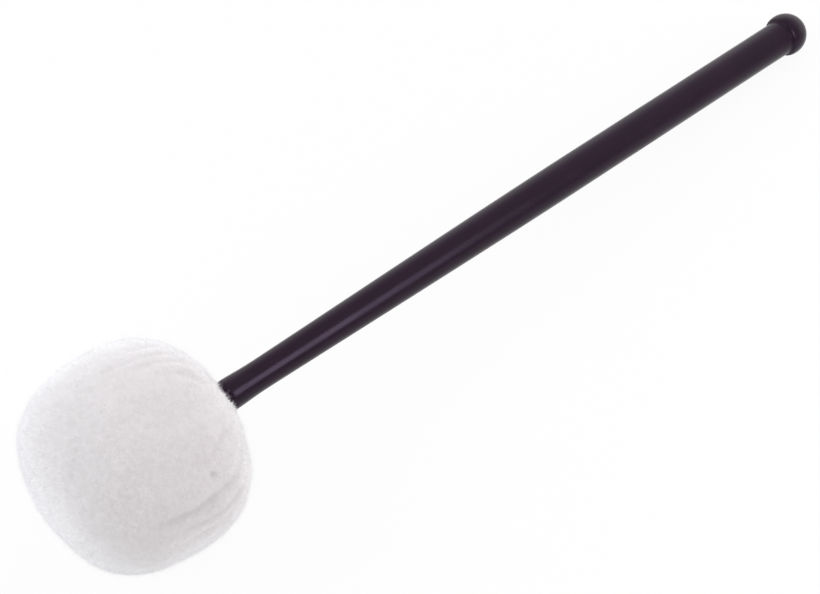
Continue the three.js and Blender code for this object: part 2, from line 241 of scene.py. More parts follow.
@dataclass(frozen=True)
class BlackLacquer(Finish):
    """Satin black lacquer with a purple-brown cast over turned wood."""

    name: str = "black_lacquer"
    body: Colour = srgb(27, 6, 26)
    thin: Colour = srgb(38, 13, 36)
    cast: Colour = (0.93, 0.84, 1.0, 1.0)
    smooth: float = 0.27
    worn: float = 0.36

    def paint(self, tree: ShaderTree) -> dict:
        """Lacquer a little thinner here and there, with the lathe's rings and handling marks in its gloss.

        Args:
            tree: the material's tree.

        Returns:
            The Principled shader's values.
        """
        place = tree.place()
        cloud = tree.grain(place, 55, 4)
        streak = tree.grain(tree.place(scale=(1, 9, 9)), 130, 4, 0.6)
        rings = tree.grain(tree.place(scale=(60, 1, 1)), 40, 2)
        peel = tree.grain(place, 2600, 2)
        speck = tree.grain(place, 900, 2, 0.7)
        thinner = tree.ramp(cloud * 0.6 + streak * 0.4, 0.42, 0.68)
        dulled = tree.ramp(tree.grain(place, 32, 3), 0.45, 0.75)
        rough = self.smooth + (self.worn - self.smooth) * dulled
        lathe = tree.bump(rings, 0.00004, 0.25)
        return {
            "Base Color": tree.blend(thinner * 0.55, self.body, self.thin),
            "Roughness": rough + (streak - 0.5) * 0.08 + (speck - 0.5) * 0.06,
            "Normal": tree.bump(peel * 0.7 + speck * 0.3, 0.00003, 0.35, lathe),
            "Specular IOR Level": 0.25,
            "Specular Tint": self.cast,
        }


@dataclass(frozen=True)
class FleeceBacking(Finish):
    """The dense underside of the pile, where the fibres stand in the knit."""

    name: str = "fleece_backing"
    deep: Colour = srgb(215, 211, 210)
    full: Colour = srgb(226, 222, 223)
    # The painted shade that the folds, the tucks and the dimple are blended towards.
    fold: Colour = srgb(182, 176, 178)
    # The next colour is a painted sheen, mixed in at glancing angles; glow sets how fast it takes over.
    painted_sheen: Colour = srgb(247, 247, 248)
    glow: float = 1.87

    def paint(self, tree: ShaderTree) -> dict:
        """Off-white, with shade painted between the tufts and in the folds.

        Args:
            tree: the material's tree.

        Returns:
            The Principled shader's values.
        """
        place = tree.place()
        tuft = tree.grain(place, 420, 4, 0.62)
        fine = tree.grain(place, 2400, 3, 0.65)
        cloud = tree.grain(place, 60, 3)
        # Darker where the bump is low: painted shade between the tufts, with some random tone from the
        # cloud.
        share = tree.ramp(tuft * 0.55 + fine * 0.3 + cloud * 0.15, 0.32, 0.62)
        return {
            "Base Color": self.paint_fold_shade(tree, share),
            "Roughness": 1.0,
            "Normal": tree.bump(fine, 0.0003, 0.5, tree.bump(tuft, 0.0006, 0.4)),
            "Specular IOR Level": 0.1,
            "Sheen Weight": 0.6,
            "Sheen Roughness": 0.4,
        }

    def paint_fold_shade(self, tree: ShaderTree, share: Wire) -> Wire:
        """The fleece's colour between its two tones, with painted shade in the folds."""
        return tree.blend(tree.read(FOLD_SHADE)["Fac"], tree.blend(share, self.deep, self.full), self.fold)

    def skin_facing(self, tree: ShaderTree) -> Wire:
        """How far the skin under a place turns away from the eye.

        Args:
            tree: the material's tree.

        Returns:
            0 where it is seen from straight above, and 1 where it is seen along its surface.
        """
        settings = {"vector_type": "NORMAL", "convert_from": "OBJECT", "convert_to": "WORLD"}
        skin = tree.node("ShaderNodeVectorTransform", settings, {0: tree.read(SKIN)["Vector"]})[0]
        return tree.node("ShaderNodeLayerWeight", {}, {"Blend": 0.5, "Normal": skin})["Facing"]

    def surface(self, tree: ShaderTree) -> Wire:
        """The fleece with a painted sheen, lighter at glancing angles, where only its fibres' lit ends are
        seen.

        Args:
            tree: the material's tree.

        Returns:
            The shader.
        """
        body = self.paint(tree)
        glance = self.skin_facing(tree)
        sheen = glance * glance * glance * self.glow
        under = tree.node("ShaderNodeBsdfPrincipled", {}, body)
        # The painted sheen: the same shader with a lighter colour.
        over = tree.node("ShaderNodeBsdfPrincipled", {}, {**body, "Base Color": self.painted_sheen})
        return tree.node("ShaderNodeMixShader", {}, {0: sheen.at_most(1.0), 1: under[0], 2: over[0]})[0]


@dataclass(frozen=True)
class FleecePile(FleeceBacking):
    """The pile's fibres."""

    name: str = "fleece_pile"
    deep: Colour = srgb(223, 219, 219)
    full: Colour = srgb(233, 230, 231)

    def paint(self, tree: ShaderTree) -> dict:
        """White fibres in tufts that differ a little.

        Args:
            tree: the material's tree.

        Returns:
            The Principled shader's values.
        """
        place = tree.place()
        tuft = tree.grain(place, 260, 3, 0.6)
        cloud = tree.grain(place, 45, 3)
        return {
            "Base Color": self.paint_fold_shade(tree, tree.ramp(tuft * 0.6 + cloud * 0.4, 0.36, 0.6)),
            "Roughness": 0.85,
            "Specular IOR Level": 0.2,
            "Sheen Weight": 0.6,
            "Sheen Roughness": 0.4,
        }


@dataclass(frozen=True)
class Felt(Finish):
    """Pressed wool felt, in the shades that a grade has."""

    name: str
    shade: Colour
    light: Colour
    fibre: float

    def paint(self, tree: ShaderTree) -> dict:
        """Matted fibres with a few darker ones.

        Args:
            tree: the material's tree.

        Returns:
            The Principled shader's values.
        """
        place = tree.place()
        mat = tree.grain(place, self.fibre, 5, 0.7)
        hairs = tree.grain(tree.place(scale=(1, 6, 1), turn=(0.4, 0.2, 0.9)), self.fibre, 3, 0.6)
        cloud = tree.grain(place, 70, 3)
        share = tree.ramp(mat * 0.5 + hairs * 0.3 + cloud * 0.2, 0.36, 0.64)
        return {
            "Base Color": tree.blend(share, self.shade, self.light),
            "Roughness": 0.95,
            "Normal": tree.bump(mat * 0.6 + hairs * 0.4, 0.0005, 0.7),
            "Specular IOR Level": 0.15,
            "Sheen Weight": 0.3,
            "Sheen Roughness": 0.5,
        }


@dataclass(frozen=True)
class Cotton(Finish):
    """Twisted cotton thread and cord."""

    name: str = "cotton"
    shade: Colour = srgb(205, 199, 186)
    light: Colour = srgb(241, 238, 230)

    def paint(self, tree: ShaderTree) -> dict:
        """Off-white yarn with a fine fuzz.

        Args:
            tree: the material's tree.

        Returns:
            The Principled shader's values.
        """
        yarn = tree.grain(tree.place(), 1500, 4, 0.65)
        return {
            "Base Color": tree.blend(tree.ramp(yarn, 0.36, 0.62), self.shade, self.light),
            "Roughness": 0.8,
            "Normal": tree.bump(yarn, 0.0002, 0.5),
            "Specular IOR Level": 0.3,
        }


@dataclass(frozen=True)
class BareMaple(Finish):
    """Turned and unfinished maple, with its grain along the axis."""

    name: str = "bare_maple"
    early: Colour = srgb(214, 188, 148)
    late: Colour = srgb(180, 146, 102)

    def paint(self, tree: ShaderTree) -> dict:
        """Growth rings drawn out along the axis, fine pores and turning marks.

        Args:
            tree: the material's tree.

        Returns:
            The Principled shader's values.
        """
        rings = tree.grain(tree.place(scale=(0.12, 1, 1)), 420, 4, 0.55)
        pores = tree.grain(tree.place(scale=(0.06, 1, 1)), 3200, 2)
        marks = tree.grain(tree.place(scale=(30, 1, 1)), 60, 2)
        share = tree.ramp(rings * 0.7 + pores * 0.3, 0.38, 0.66)
        return {
            "Base Color": tree.blend(share, self.early, self.late),
            "Roughness": 0.62 + (pores - 0.5) * 0.2,
            "Normal": tree.bump(marks * 0.5 + pores * 0.5, 0.0001, 0.4),
        }


@dataclass(frozen=True)
class ZincSteel(Finish):
    """Zinc-plated steel with a brushed face and a few dull spots."""

    name: str = "zinc_steel"
    bright: Colour = srgb(205, 206, 210)
    dull: Colour = srgb(158, 159, 163)

    def paint(self, tree: ShaderTree) -> dict:
        """Plating that is a little uneven.

        Args:
            tree: the material's tree.

        Returns:
            The Principled shader's values.
        """
        cloud = tree.ramp(tree.grain(tree.place(), 260, 4, 0.6), 0.4, 0.65)
        brushed = tree.grain(tree.place(scale=(1, 1, 14)), 900, 3)
        return {
            "Base Color": tree.blend(cloud, self.bright, self.dull),
            "Metallic": 1.0,
            "Roughness": 0.3 + cloud * 0.15 + (brushed - 0.5) * 0.12,
            "Normal": tree.bump(brushed, 0.00003, 0.4),
        }


# Shared shapes


@dataclass(frozen=True)
class Lie:
    """How the mallet lies: its axis's tilt, the place of its crown, and how far that is along the axis."""

    tilt: float = math.radians(5.40913)
    crown_x: float = -204.97835
    crown_z: float = 47.6211
    crown_reach: float = 40.6

    def to_row(self, points: Array) -> Array:
        """Takes points from the mallet's own frame to the row frame.

        Args:
            points: place along the axis, to the side and up, in mm.

        Returns:
            The points in metres.
        """
        along, side, up = np.moveaxis(points, -1, 0)
        reach = along + self.crown_reach
        x = self.crown_x + reach * math.cos(self.tilt) + up * math.sin(self.tilt)
        z = self.crown_z - reach * math.sin(self.tilt) + up * math.cos(self.tilt)
        return np.stack([x, side, z], -1) * MM


def on_axis(*along: float) -> Array:
    """Points of the axis, in the mallet's own frame."""
    return np.array([(place, 0.0, 0.0) for place in along])


def ring_point(along: Array, radius: Array, angle: Array) -> Array:
    """Points at a distance from the axis and an angle round it, in the mallet's own frame."""
    return np.stack(np.broadcast_arrays(along, -radius * np.sin(angle), -radius * np.cos(angle)), -1)


def barrel(radius: float, crown: float, neck: float, share: float, bands: int) -> Array:
    """A barrel's outline from the crown's pole to the neck's pole.

    Args:
        radius: at the widest circle.
        crown, neck: the reach from the widest circle to each pole.
        share: roundness, from 0 for a cylinder to 1 for an ellipse.
        bands: bands from the widest circle to a pole.

    Returns:
        Points of place along the axis and radius.
    """
    angle = np.linspace(0, math.pi, 2 * bands + 1)
    reach = np.where(angle < math.pi / 2, -crown, neck)
    along = reach * np.abs(np.cos(angle)) ** share
    return np.stack([along, radius * np.abs(np.sin(angle)) ** share], -1)


def even(outline: Array, count: int) -> Array:
    """An outline with that many points, spread evenly along it."""
    run = np.r_[0, np.cumsum(np.hypot(*np.diff(outline, axis=0).T))]
    return np.stack([np.interp(np.linspace(0, run[-1], count), run, part) for part in outline.T], -1)


def unit(vectors: Array, least: float = 1e-12) -> Array:
    """Vectors at length 1, or shorter where they were below the least length."""
    return vectors / np.maximum(np.linalg.norm(vectors, axis=-1), least)[..., None]


def across(vectors: Array, normal: Array) -> Array:
    """What is left of vectors without their part along a normal."""
    return vectors - (vectors * normal).sum(1)[:, None] * normal


def normals_of(skin: Array) -> tuple[Array, Array]:
    """The outward normals of a closed skin.

    Args:
        skin: its points, by row and column, where the columns close on themselves.

    Returns:
        The normals and the area that each stands for, by row and column.
    """
    normal = np.cross(np.roll(skin, -1, 1) - np.roll(skin, 1, 1), np.gradient(skin, axis=0))
    area = np.linalg.norm(normal, axis=2)
    normal = unit(normal)
    if (normal * (skin - skin.mean((0, 1)))).sum() < 0:
        normal = -normal
    return normal, area


def swell(x: Array, centre: float, width: Any) -> Array:
    """A soft bell round a centre, 1 at its top."""
    return np.exp(-(((x - centre) / width) ** 2))


def step(x: Array, low: float, high: float) -> Array:
    """A smooth step from 0 at low to 1 at high."""
    share = np.clip((x - low) / (high - low), 0, 1)
    return share * share * (3 - 2 * share)


def away_from(angle: Array, middle: Any) -> Array:
    """Angles counted from a middle, the short way round."""
    return (angle - middle + math.pi) % TURN - math.pi


def grain_at(points: Array, scale: float, octaves: int, shift: float = 0.0) -> Array:
    """Noise of about -1 to 1 at points, with lumps of that size in mm, from a shifted place."""
    found = [noise.fractal(Vector(point), 1.0, 2.0, octaves) for point in points / scale + shift]
    return np.array(found)


def nearest(points: Array, places: Array) -> Array:
    """The number of the nearest place to each point.

    Args:
        points: the points.
        places: the places to choose from.

    Returns:
        One number for each point.
    """
    tree = kdtree.KDTree(len(places))
    for i, place in enumerate(places):
        tree.insert(place, i)
    tree.balance()
    return np.array([tree.find(point)[1] for point in points])


def put(name: str, data: Any) -> Any:
    """Adds an object to the scene.

    Args:
        name: its name.
        data: its mesh, lamp or camera.

    Returns:
        The object.
    """
    made = bpy.data.objects.new(name, data)
    bpy.context.scene.collection.objects.link(made)
    return made


def settle(piece: Any, node: str = "") -> Any:
    """Hangs a piece on the mallet's one body and hides the CAD node that it stands for.

    Args:
        piece: the piece, which rides on the mallet's one body.
        node: the CAD node that it stands for, if it stands for one.

    Returns:
        The piece.
    """
    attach(piece, "root")
    if node:
        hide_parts(node)
    return piece


def mesh_piece(name: str, points: Array, faces: list, finish: Finish, sharp: float = NO_EDGE) -> Any:
    """Makes a piece from points and faces.

    Args:
        name: the piece's name.
        points: in metres, in the row frame.
        faces: the numbers of each face's points.
        finish: its finish.
        sharp: the angle in degrees from which an edge is shaded sharp.

    Returns:
        The Blender object.
    """
    data = bpy.data.meshes.new(name)
    data.from_pydata(points.tolist(), [], faces)
    data.validate()
    data.shade_smooth()
    if sharp < NO_EDGE:
        data.set_sharp_from_angle(angle=math.radians(sharp))
    data.materials.append(finish.material())
    return put(name, data)


def mark(data: Any, name: str, values: Array) -> None:
    """Stores a number or a vector for each of a mesh's points, for its finish to read."""
    kind, key = ("FLOAT", "value") if values.ndim == 1 else ("FLOAT_VECTOR", "vector")
    data.attributes.new(name, kind, "POINT").data.foreach_set(key, values.astype(np.float32).ravel())


def grid_faces(rows: int, columns: int, closed: bool = False) -> Array:
    """The quads of a grid that closes on itself across its columns.

    Args:
        rows, columns: the grid's size.
        closed: whether the last row joins the first.

    Returns:
        The quads.
    """
    row = np.arange(rows if closed else rows - 1)[:, None]
    column = np.arange(columns)[None, :]
    after, beside = (row + 1) % rows, (column + 1) % columns
    near, far = row * columns, after * columns
    return np.stack([near + column, near + beside, far + beside, far + column], -1).reshape(-1, 4)


def pole_faces(rows: int, columns: int, flip: bool = False) -> list[list[int]]:
    """The triangles from a grid's first and last rows to the two points that follow its own.

    Args:
        rows, columns: the grid's size.
        flip: whether the triangles face the other way.

    Returns:
        The triangles.
    """
    first, low = rows * columns, (rows - 1) * columns
    found = []
    for here in range(columns):
        pair = (here, (here + 1) % columns)
        one, other = pair if flip else pair[::-1]
        found += [[first, one, other], [first + 1, low + other, low + one]]
    return found


@dataclass
class Part:
    """A sub-assembly of the mallet."""

    lie: Lie

    def turned(
        self, name: str, outline: Array, sides: int, finish: Finish, lumps: float = 0.0,
        dents: Optional[Callable[[Array, Array, Array], Array]] = None, sharp: float = FELT_EDGE,
    ) -> Any:
        """Makes a turned piece.

        Args:
            name: the piece's name.
            outline: points of place along the axis and radius. It ends on the axis or closes on itself.
            sides: how many sides it has.
            finish: its finish.
            lumps: how uneven its surface is, in mm.
            dents: gives how far the surface is drawn in, from place along, radius and angle.
            sharp: the angle in degrees from which an edge is shaded sharp.

        Returns:
            The Blender object.
        """
        angle = np.linspace(0, TURN, sides, endpoint=False)
        closed = outline[0, 1] > 0
        inner = outline if closed else outline[1:-1]
        reach, radius, turn = np.broadcast_arrays(inner[:, :1], inner[:, 1:], angle)
        if dents is not None:
            radius = radius - dents(reach, radius, turn)
        if lumps > 0:
            places = ring_point(reach, radius, turn).reshape(-1, 3)
            radius = radius + lumps * grain_at(places, LUMP_SIZE, 3).reshape(radius.shape)
        points = self.lie.to_row(ring_point(reach, radius, turn)).reshape(-1, 3)
        faces = grid_faces(len(inner), sides, closed).tolist()
        if not closed:
            points = np.vstack([points, self.lie.to_row(on_axis(outline[0, 0], outline[-1, 0]))])
            faces += pole_faces(len(inner), sides)
        return mesh_piece(name, points, faces, finish, sharp)

    def cord(self, name: str, path: Array, radius: float, twist: float, finish: Finish) -> Any:
        """Makes a twisted cord along a path.

        Args:
            name: the piece's name.
            path: the cord's middle, as points in the mallet's own frame.
            radius: the cord's radius.
            twist: the length of one turn of the strands.
            finish: its finish.

        Returns:
            The Blender object.
        """
        along = unit(np.gradient(path, axis=0))
        out = unit(across(path * np.array([0, 1, 1]), along))
        side = np.cross(along, out)
        run = np.r_[0, np.cumsum(np.linalg.norm(np.diff(path, axis=0), axis=1))]
        angle = np.linspace(0, TURN, CORD_SIDES, endpoint=False)[None, :]
        strand = np.abs(np.cos(STRANDS / 2 * (angle - TURN * run[:, None] / twist)))
        lobes = 1 - STRAND_DEPTH + STRAND_DEPTH * strand
        ends = step(np.minimum(run, run[-1] - run), 0, radius * 1.5)[:, None] * 0.7 + 0.3
        reach = radius * lobes * ends
        spread = out[:, None, :] * np.cos(angle)[..., None] + side[:, None, :] * np.sin(angle)[..., None]
        places = path[:, None, :] + reach[..., None] * spread
        low = (len(path) - 1) * CORD_SIDES
        caps = [list(range(CORD_SIDES))[::-1], list(range(low, low + CORD_SIDES))]
        faces = grid_faces(len(path), CORD_SIDES).tolist() + caps
        return mesh_piece(name, self.lie.to_row(places).reshape(-1, 3), faces, finish)


# The head's fleece


@dataclass(frozen=True)
class Crease:
    """A fold over the head: its route by place and degrees, from its faint end to the neck, the depth and
    half width of its valley, and the depth and half width of the narrow parting in its middle."""

    route: tuple[tuple[float, float], ...]
    depth: float
    width: float
    sharp: float
    parting: float = 1.3


@dataclass(frozen=True)
class Bulge:
    """A place where the head stands out from its barrel, or falls short of it: the direction from the
    head's middle in the mallet's own frame, the height, and the spread in degrees."""

    toward: Triple
    height: float
    spread: float


@dataclass
class FleeceCover(Part):
    """The fleece bag drawn in at the neck, and the pile that stands on it. A span is where something
    grows or fades. The lip is measured from its tip and the shaft's surface. Each row of the relief has
    the height, the size of the lumps, the octaves and the shift of its noise."""

    radius: float = 43.1
    crown: float = 39.1
    neck: float = 39.8
    roundness: float = 0.82
    bands: int = 120
    rows: int = 170
    columns: int = 400
    lining_rows: int = 14
    wall: float = 5.2
    shaft_radius: float = 6.15
    shaft_gap: float = 0.25
    skin_gap: float = 0.1
    lip_reach: float = 43.2
    lip_turn: float = 0.3
    lip: tuple[tuple[float, float], ...] = ((-0.9, 2.0), (-0.2, 1.1), (0.0, 0.4))
    edge_span: tuple[float, float] = (34, 43)
    edge_out: float = 0.5
    edge_out_angle: float = math.radians(60)
    edge_in: float = 2.5
    edge_in_angle: float = math.radians(170)
    shoulder_radius: float = 12.5
    chamber_radius: float = 7.85
    chamber_end: float = 39.95
    tucks: int = 27
    tuck_depth: float = 0.9
    tuck_swell: float = 0.2
    tuck_span: tuple[float, float] = (30, 41)
    tuck_end_span: tuple[float, float] = (40.5, 42.5)
    crease_rise: float = 16.0
    crease_lead: float = 3.0
    crease_ridge: float = 0.32
    parting_rise: float = 11.0
    least_radius: float = 4.0
    crease_room_span: tuple[float, float] = (6, 26)
    crease_ease_span: tuple[float, float] = (26, 36)
    dimple_along: float = 11.8
    dimple_angle: float = math.radians(124.0)
    dimple_depth: float = 1.0
    dimple_width: float = 1.3
    dimple_shade: float = 1.15
    relief: tuple[tuple[float, float, int, float], ...] = (
        (0.55, 26, 2, 0.0), (0.32, 7.5, 2, 5.1), (0.15, 2.8, 3, 9.7),
    )
    relief_span: tuple[float, float] = (3, 16)
    skin_lift: float = 0.4
    fibres: int = 240_000
    sheaves: int = 5
    pile_length: float = 1.5
    pile_width: float = 0.085
    pile_lift: float = 0.1
    root_depth: float = 0.3
    pile_curl: float = 0.45
    swirl_size: float = 17.0
    stroke_size: float = 5.0
    stroke_places: int = 40
    tuft_size: int = 40
    neck_tufts: int = 24
    neck_tuft_span: tuple[float, float] = (7.2, 10.0)
    wisps: float = 0.22
    wisp_length: float = 1.3
    wisp_spread: float = 0.95
    wisp_limit: float = 2.9
    creases: tuple[Crease, ...] = (
        Crease(((-22, 115), (-12, 113.5), (-6, 111.5), (0, 110), (5, 110), (11, 110.3), (21, 109),
                (28, 110.5), (42, 112)), 1.5, 4.6, 0.75, 1.8),
        Crease(((-12, 105), (-6, 103), (2, 100), (12, 98), (20, 98.5), (28, 99), (42, 100)), 0.5, 2.2, 0.6),
        Crease(((1, 132), (7, 132), (13, 131), (23, 137), (31, 136), (42, 133)), 0.8, 4.5, 0.35),
        Crease(((-7, 167), (4, 161), (10, 159), (18, 160), (28, 158), (42, 155)), 0.4, 5.0, 0.12),
        Crease(((-15, 95), (-8, 94), (0, 93), (5, 91), (13, 90), (19, 88), (25, 85), (42, 86)),
               0.8, 2.4, 0.5),
        Crease(((-2, 79), (4, 76), (14, 79), (26, 78), (42, 76)), 0.6, 2.2, 0.25),
        Crease(((0, 199), (9, 194), (17, 193), (24.5, 190), (29.5, 186), (42, 180)), 0.45, 2.6, 0.38),
        Crease(((-8, 204), (2, 202), (10, 200.5), (18, 200), (25, 198), (42, 196)), 0.35, 2.0, 0.28),
        Crease(((11, 187), (17, 184), (22, 181), (26, 176), (29, 170), (42, 165)), 0.45, 2.6, 0.35),
        Crease(((4, 61), (20, 60), (42, 62)), 0.9, 4.0, 0.7),
        Crease(((8, 44), (22, 43), (42, 45)), 1.3, 4.4, 0.9),
        Crease(((4, 24), (18, 27), (42, 26)), 1.2, 4.6, 0.8),
        Crease(((12, 2), (26, 4), (42, 5)), 1.0, 4.0, 0.6),
        Crease(((0, 341), (14, 339), (42, 344)), 1.4, 4.4, 1.0),
        Crease(((9, 318), (24, 320), (42, 322)), 1.0, 4.2, 0.7),
        Crease(((-4, 291), (12, 294), (28, 297), (42, 299)), 1.4, 4.6, 1.1),
        Crease(((10, 273), (24, 272), (42, 275)), 0.9, 3.8, 0.7),
        Crease(((3, 250), (16, 247), (42, 251)), 1.2, 4.4, 0.9),
        Crease(((12, 226), (28, 228), (42, 226)), 1.1, 4.0, 0.8),
        Crease(((6, 210), (24, 211), (42, 207)), 0.8, 3.6, 0.5),
    )
    bulges: tuple[Bulge, ...] = (
        Bulge((0.893, -0.369, 0.256), 0.9, 15),
        Bulge((0.878, 0.103, 0.468), 0.7, 15),
        Bulge((0.360, 0.769, 0.529), -0.5, 20),
        Bulge((-0.342, 0.904, 0.256), -1.2, 16),
        Bulge((-0.690, 0.720, 0.010), 0.7, 15),
        Bulge((-0.818, -0.261, -0.512), -0.4, 14),
        Bulge((-0.603, -0.573, -0.555), 0.5, 15),
        Bulge((-0.208, -0.846, -0.492), -0.4, 11),
        Bulge((0.342, -0.904, -0.256), 1.0, 24),
        Bulge((-0.9, 0.1, 0.3), -0.4, 22),
        Bulge((-0.2, 0.2, 0.95), 0.3, 30),
        Bulge((0.50, -0.76, 0.41), 0.4, 8),
        Bulge((0.62, 0.60, 0.50), 0.5, 18),
    )
    bag: FleeceBacking = FleeceBacking()
    pile: FleecePile = FleecePile()

    def outline(self) -> Array:
        """The bag's outline from the crown's pole over the shoulder to the lip on the shaft.

        Returns:
            Points of place along the axis and radius.
        """
        whole = barrel(self.radius, self.crown, self.neck, self.roundness, self.bands)
        shown = whole[(whole[:, 0] < 0) | (whole[:, 1] > self.shoulder_radius)]
        lip = np.array(self.lip) + [self.lip_reach, self.shaft_radius]
        return even(np.vstack([shown, shown[-1] * 0.45 + lip[0] * 0.55, lip]), self.rows)

    def creased(self, along: Array, angle: Array, radius: Array) -> tuple[Array, Array]:
        """How far the creases, the tucks at the neck and the dimple draw the skin in.

        Args:
            along: places along the axis.
            angle: angles round it, in radians.
            radius: distances from it.

        Returns:
            The depth at each point, in mm, and the shade painted into the fleece's colour there, from 0 to
            1.
        """
        depth, shade = np.zeros(along.shape), np.zeros(along.shape)
        room = step(radius, *self.crease_room_span)
        for crease in self.creases:
            route = np.array(crease.route)
            start = route[0, 0]
            middle = np.radians(np.interp(along, route[:, 0], route[:, 1]))
            away = np.abs(away_from(angle, middle)) * np.maximum(radius, self.least_radius)
            grown = step(along, start - self.crease_lead, start + self.crease_rise)
            width = crease.width * (0.35 + 0.65 * room)
            valley = swell(away, 0, width) - self.crease_ridge * swell(away, 1.9 * width, 0.9 * width)
            parting = swell(away, 0, crease.parting) * step(along, start, start + self.parting_rise)
            eased = grown * (1 - 0.55 * step(along, *self.crease_ease_span))
            depth += eased * (crease.depth * valley * (0.3 + 0.7 * room) + 0.6 * crease.sharp * parting)
            # Painted shade: the parting and the valley's middle are darkened in the fleece's colour.
            shade += grown * crease.sharp * (0.4 * parting + 0.1 * swell(away, 0, 0.6 * width)) * room
        tuck = 0.5 + 0.5 * np.cos(self.tucks * angle + 1.3 * np.sin(3 * angle) + 0.8 * np.sin(7 * angle))
        near = step(along, *self.tuck_span) * (1 - 0.7 * step(along, *self.tuck_end_span))
        depth += near * (self.tuck_depth * (1 - tuck) - self.tuck_swell)
        # Painted shade in the tucks at the neck.
        shade += 0.12 * near * (1 - tuck)
        away = np.hypot(along - self.dimple_along, (angle - self.dimple_angle) * self.radius)
        depth += self.dimple_depth * swell(away, 0, self.dimple_width)
        # Painted shade at the dimple.
        shade += 0.5 * swell(away, 0, self.dimple_shade)
        return depth, np.clip(shade, 0, 1)

    def edge_shift(self, along: Array, angle: Array) -> Array:
        """How far the cover's edge is drawn along the shaft.

        Args:
            along: places along the axis.
            angle: angles round it, in radians.

        Returns:
            The shift along the axis, in mm: out beside the shaft, and back above it.
        """
        out = self.edge_out * swell(away_from(angle, self.edge_out_angle), 0, 0.5)
        back = self.edge_in * swell(away_from(angle, self.edge_in_angle), 0, 0.75)
        return step(along, *self.edge_span) * (out - back)

    def skin(self, outline: Array, angle: Array) -> tuple[Array, Array, Array]:
        """The bag's outer skin.

        Args:
            outline: its outline.
            angle: the angles of its columns.

        Returns:
            Its points in the mallet's own frame, by row and column, the shade painted on each,
            and the smooth normals of the round shape under them.
        """
        run = unit(np.gradient(outline, axis=0))
        normal = np.stack([-run[:, 1], run[:, 0]], -1)
        along, radius, turn = np.broadcast_arrays(outline[:, :1], outline[:, 1:], angle)
        flat = ring_point(along, radius, turn).reshape(-1, 3)
        toward = unit(flat, 1)
        height = np.zeros(len(flat))
        for bulge in self.bulges:
            aim = np.array(bulge.toward) / np.linalg.norm(bulge.toward)
            between = np.degrees(np.arccos(np.clip(toward @ aim, -1, 1)))
            height += bulge.height * swell(between, 0, bulge.spread)
        for rise, lumps, octaves, shift in self.relief:
            height += rise * grain_at(flat, lumps, octaves, shift)
        height = height.reshape(along.shape) * step(radius, *self.relief_span)
        depth, shade = self.creased(along, turn, radius)
        height -= depth
        moved = along + normal[:, :1] * height + self.edge_shift(along, turn)
        least = np.where(along > 0, self.shaft_radius + self.skin_gap, 0.0)
        smooth = ring_point(normal[:, :1], normal[:, 1:], turn)
        return ring_point(moved, np.maximum(radius + normal[:, 1:] * height, least), turn), shade, smooth

    def inside(self, angle: Array) -> tuple[Array, float]:
        """The bag's inner skin, from the lip down the throat and the chamber to the lining.

        Args:
            angle: the angles of its columns.

        Returns:
            Its points in the mallet's own frame, by row and column, and where its pole is on the axis.
        """
        wall, bore = self.wall, self.shaft_radius + self.shaft_gap
        lining = barrel(
            self.radius - wall, self.crown - wall, self.neck - wall, self.roundness, self.lining_rows,
        )
        lining = lining[(lining[:, 0] < 0) | (lining[:, 1] > self.chamber_radius)][::-1]
        throat = np.array([
            [self.lip_reach - self.lip_turn, bore],
            [self.chamber_end, bore],
            [self.chamber_end, self.chamber_radius],
            [lining[0, 0], self.chamber_radius],
        ])
        inner = np.vstack([throat, lining[:-1]])
        reach = inner[:, :1] + 0 * angle
        reach[0] += self.edge_shift(reach[0], angle)
        return ring_point(reach, inner[:, 1:], angle), lining[-1, 0]

    def pressed(self, points: Array, lift: float, soft: float = 0.7 * MM) -> Array:
        """Points with the lowest of them pressed flat on the surface that the head lies on.

        Args:
            points: in the row frame.
            lift: how far above that surface they stay, in metres.
            soft: the height below which they give way, in metres.

        Returns:
            The points.
        """
        height = points[..., 2:] - lift
        held = np.where(height < soft, soft * np.exp(np.minimum(height - soft, 0) / soft), height)
        return np.concatenate([points[..., :2], held + lift], -1)

    def build(self) -> list[Any]:
        """Makes the bag and its pile.

        Returns:
            The pieces.
        """
        angle = np.linspace(0, TURN, self.columns, endpoint=False)
        outline = self.outline()
        outer, shade, smooth = self.skin(outline[1:], angle)
        inner, pole = self.inside(angle)
        points = self.lie.to_row(np.concatenate([outer, inner]))
        skin = points[: len(outer)] = self.pressed(points[: len(outer)], self.skin_lift * MM)
        flat = np.vstack([points.reshape(-1, 3), self.lie.to_row(on_axis(outline[0, 0], pole))])
        quads = grid_faces(len(points), self.columns)[:, ::-1].tolist()
        bag = mesh_piece("fleece_bag", flat, quads + pole_faces(len(points), self.columns, True), self.bag)
        facing = self.facing(skin, smooth)
        hidden = len(flat) - shade.size
        # The shade painted in the folds, which the finish darkens the colour with.
        mark(bag.data, FOLD_SHADE, np.r_[shade.ravel(), np.zeros(hidden)])
        mark(bag.data, SKIN, np.vstack([facing.reshape(-1, 3), np.tile([0.0, 0.0, 1.0], (hidden, 1))]))
        settle(bag, "fleece_cover")
        return [bag, *self.grow(skin, outer, shade, facing)]

    def facing(self, skin: Array, smooth: Array) -> Array:
        """The normals that the painted sheen follows: mostly the round shape's, so that small folds don't
        glint.
        """
        round_shape = (self.lie.to_row(smooth) - self.lie.to_row(np.zeros(3))) / MM
        return unit(round_shape * 0.6 + normals_of(skin)[0] * 0.4)

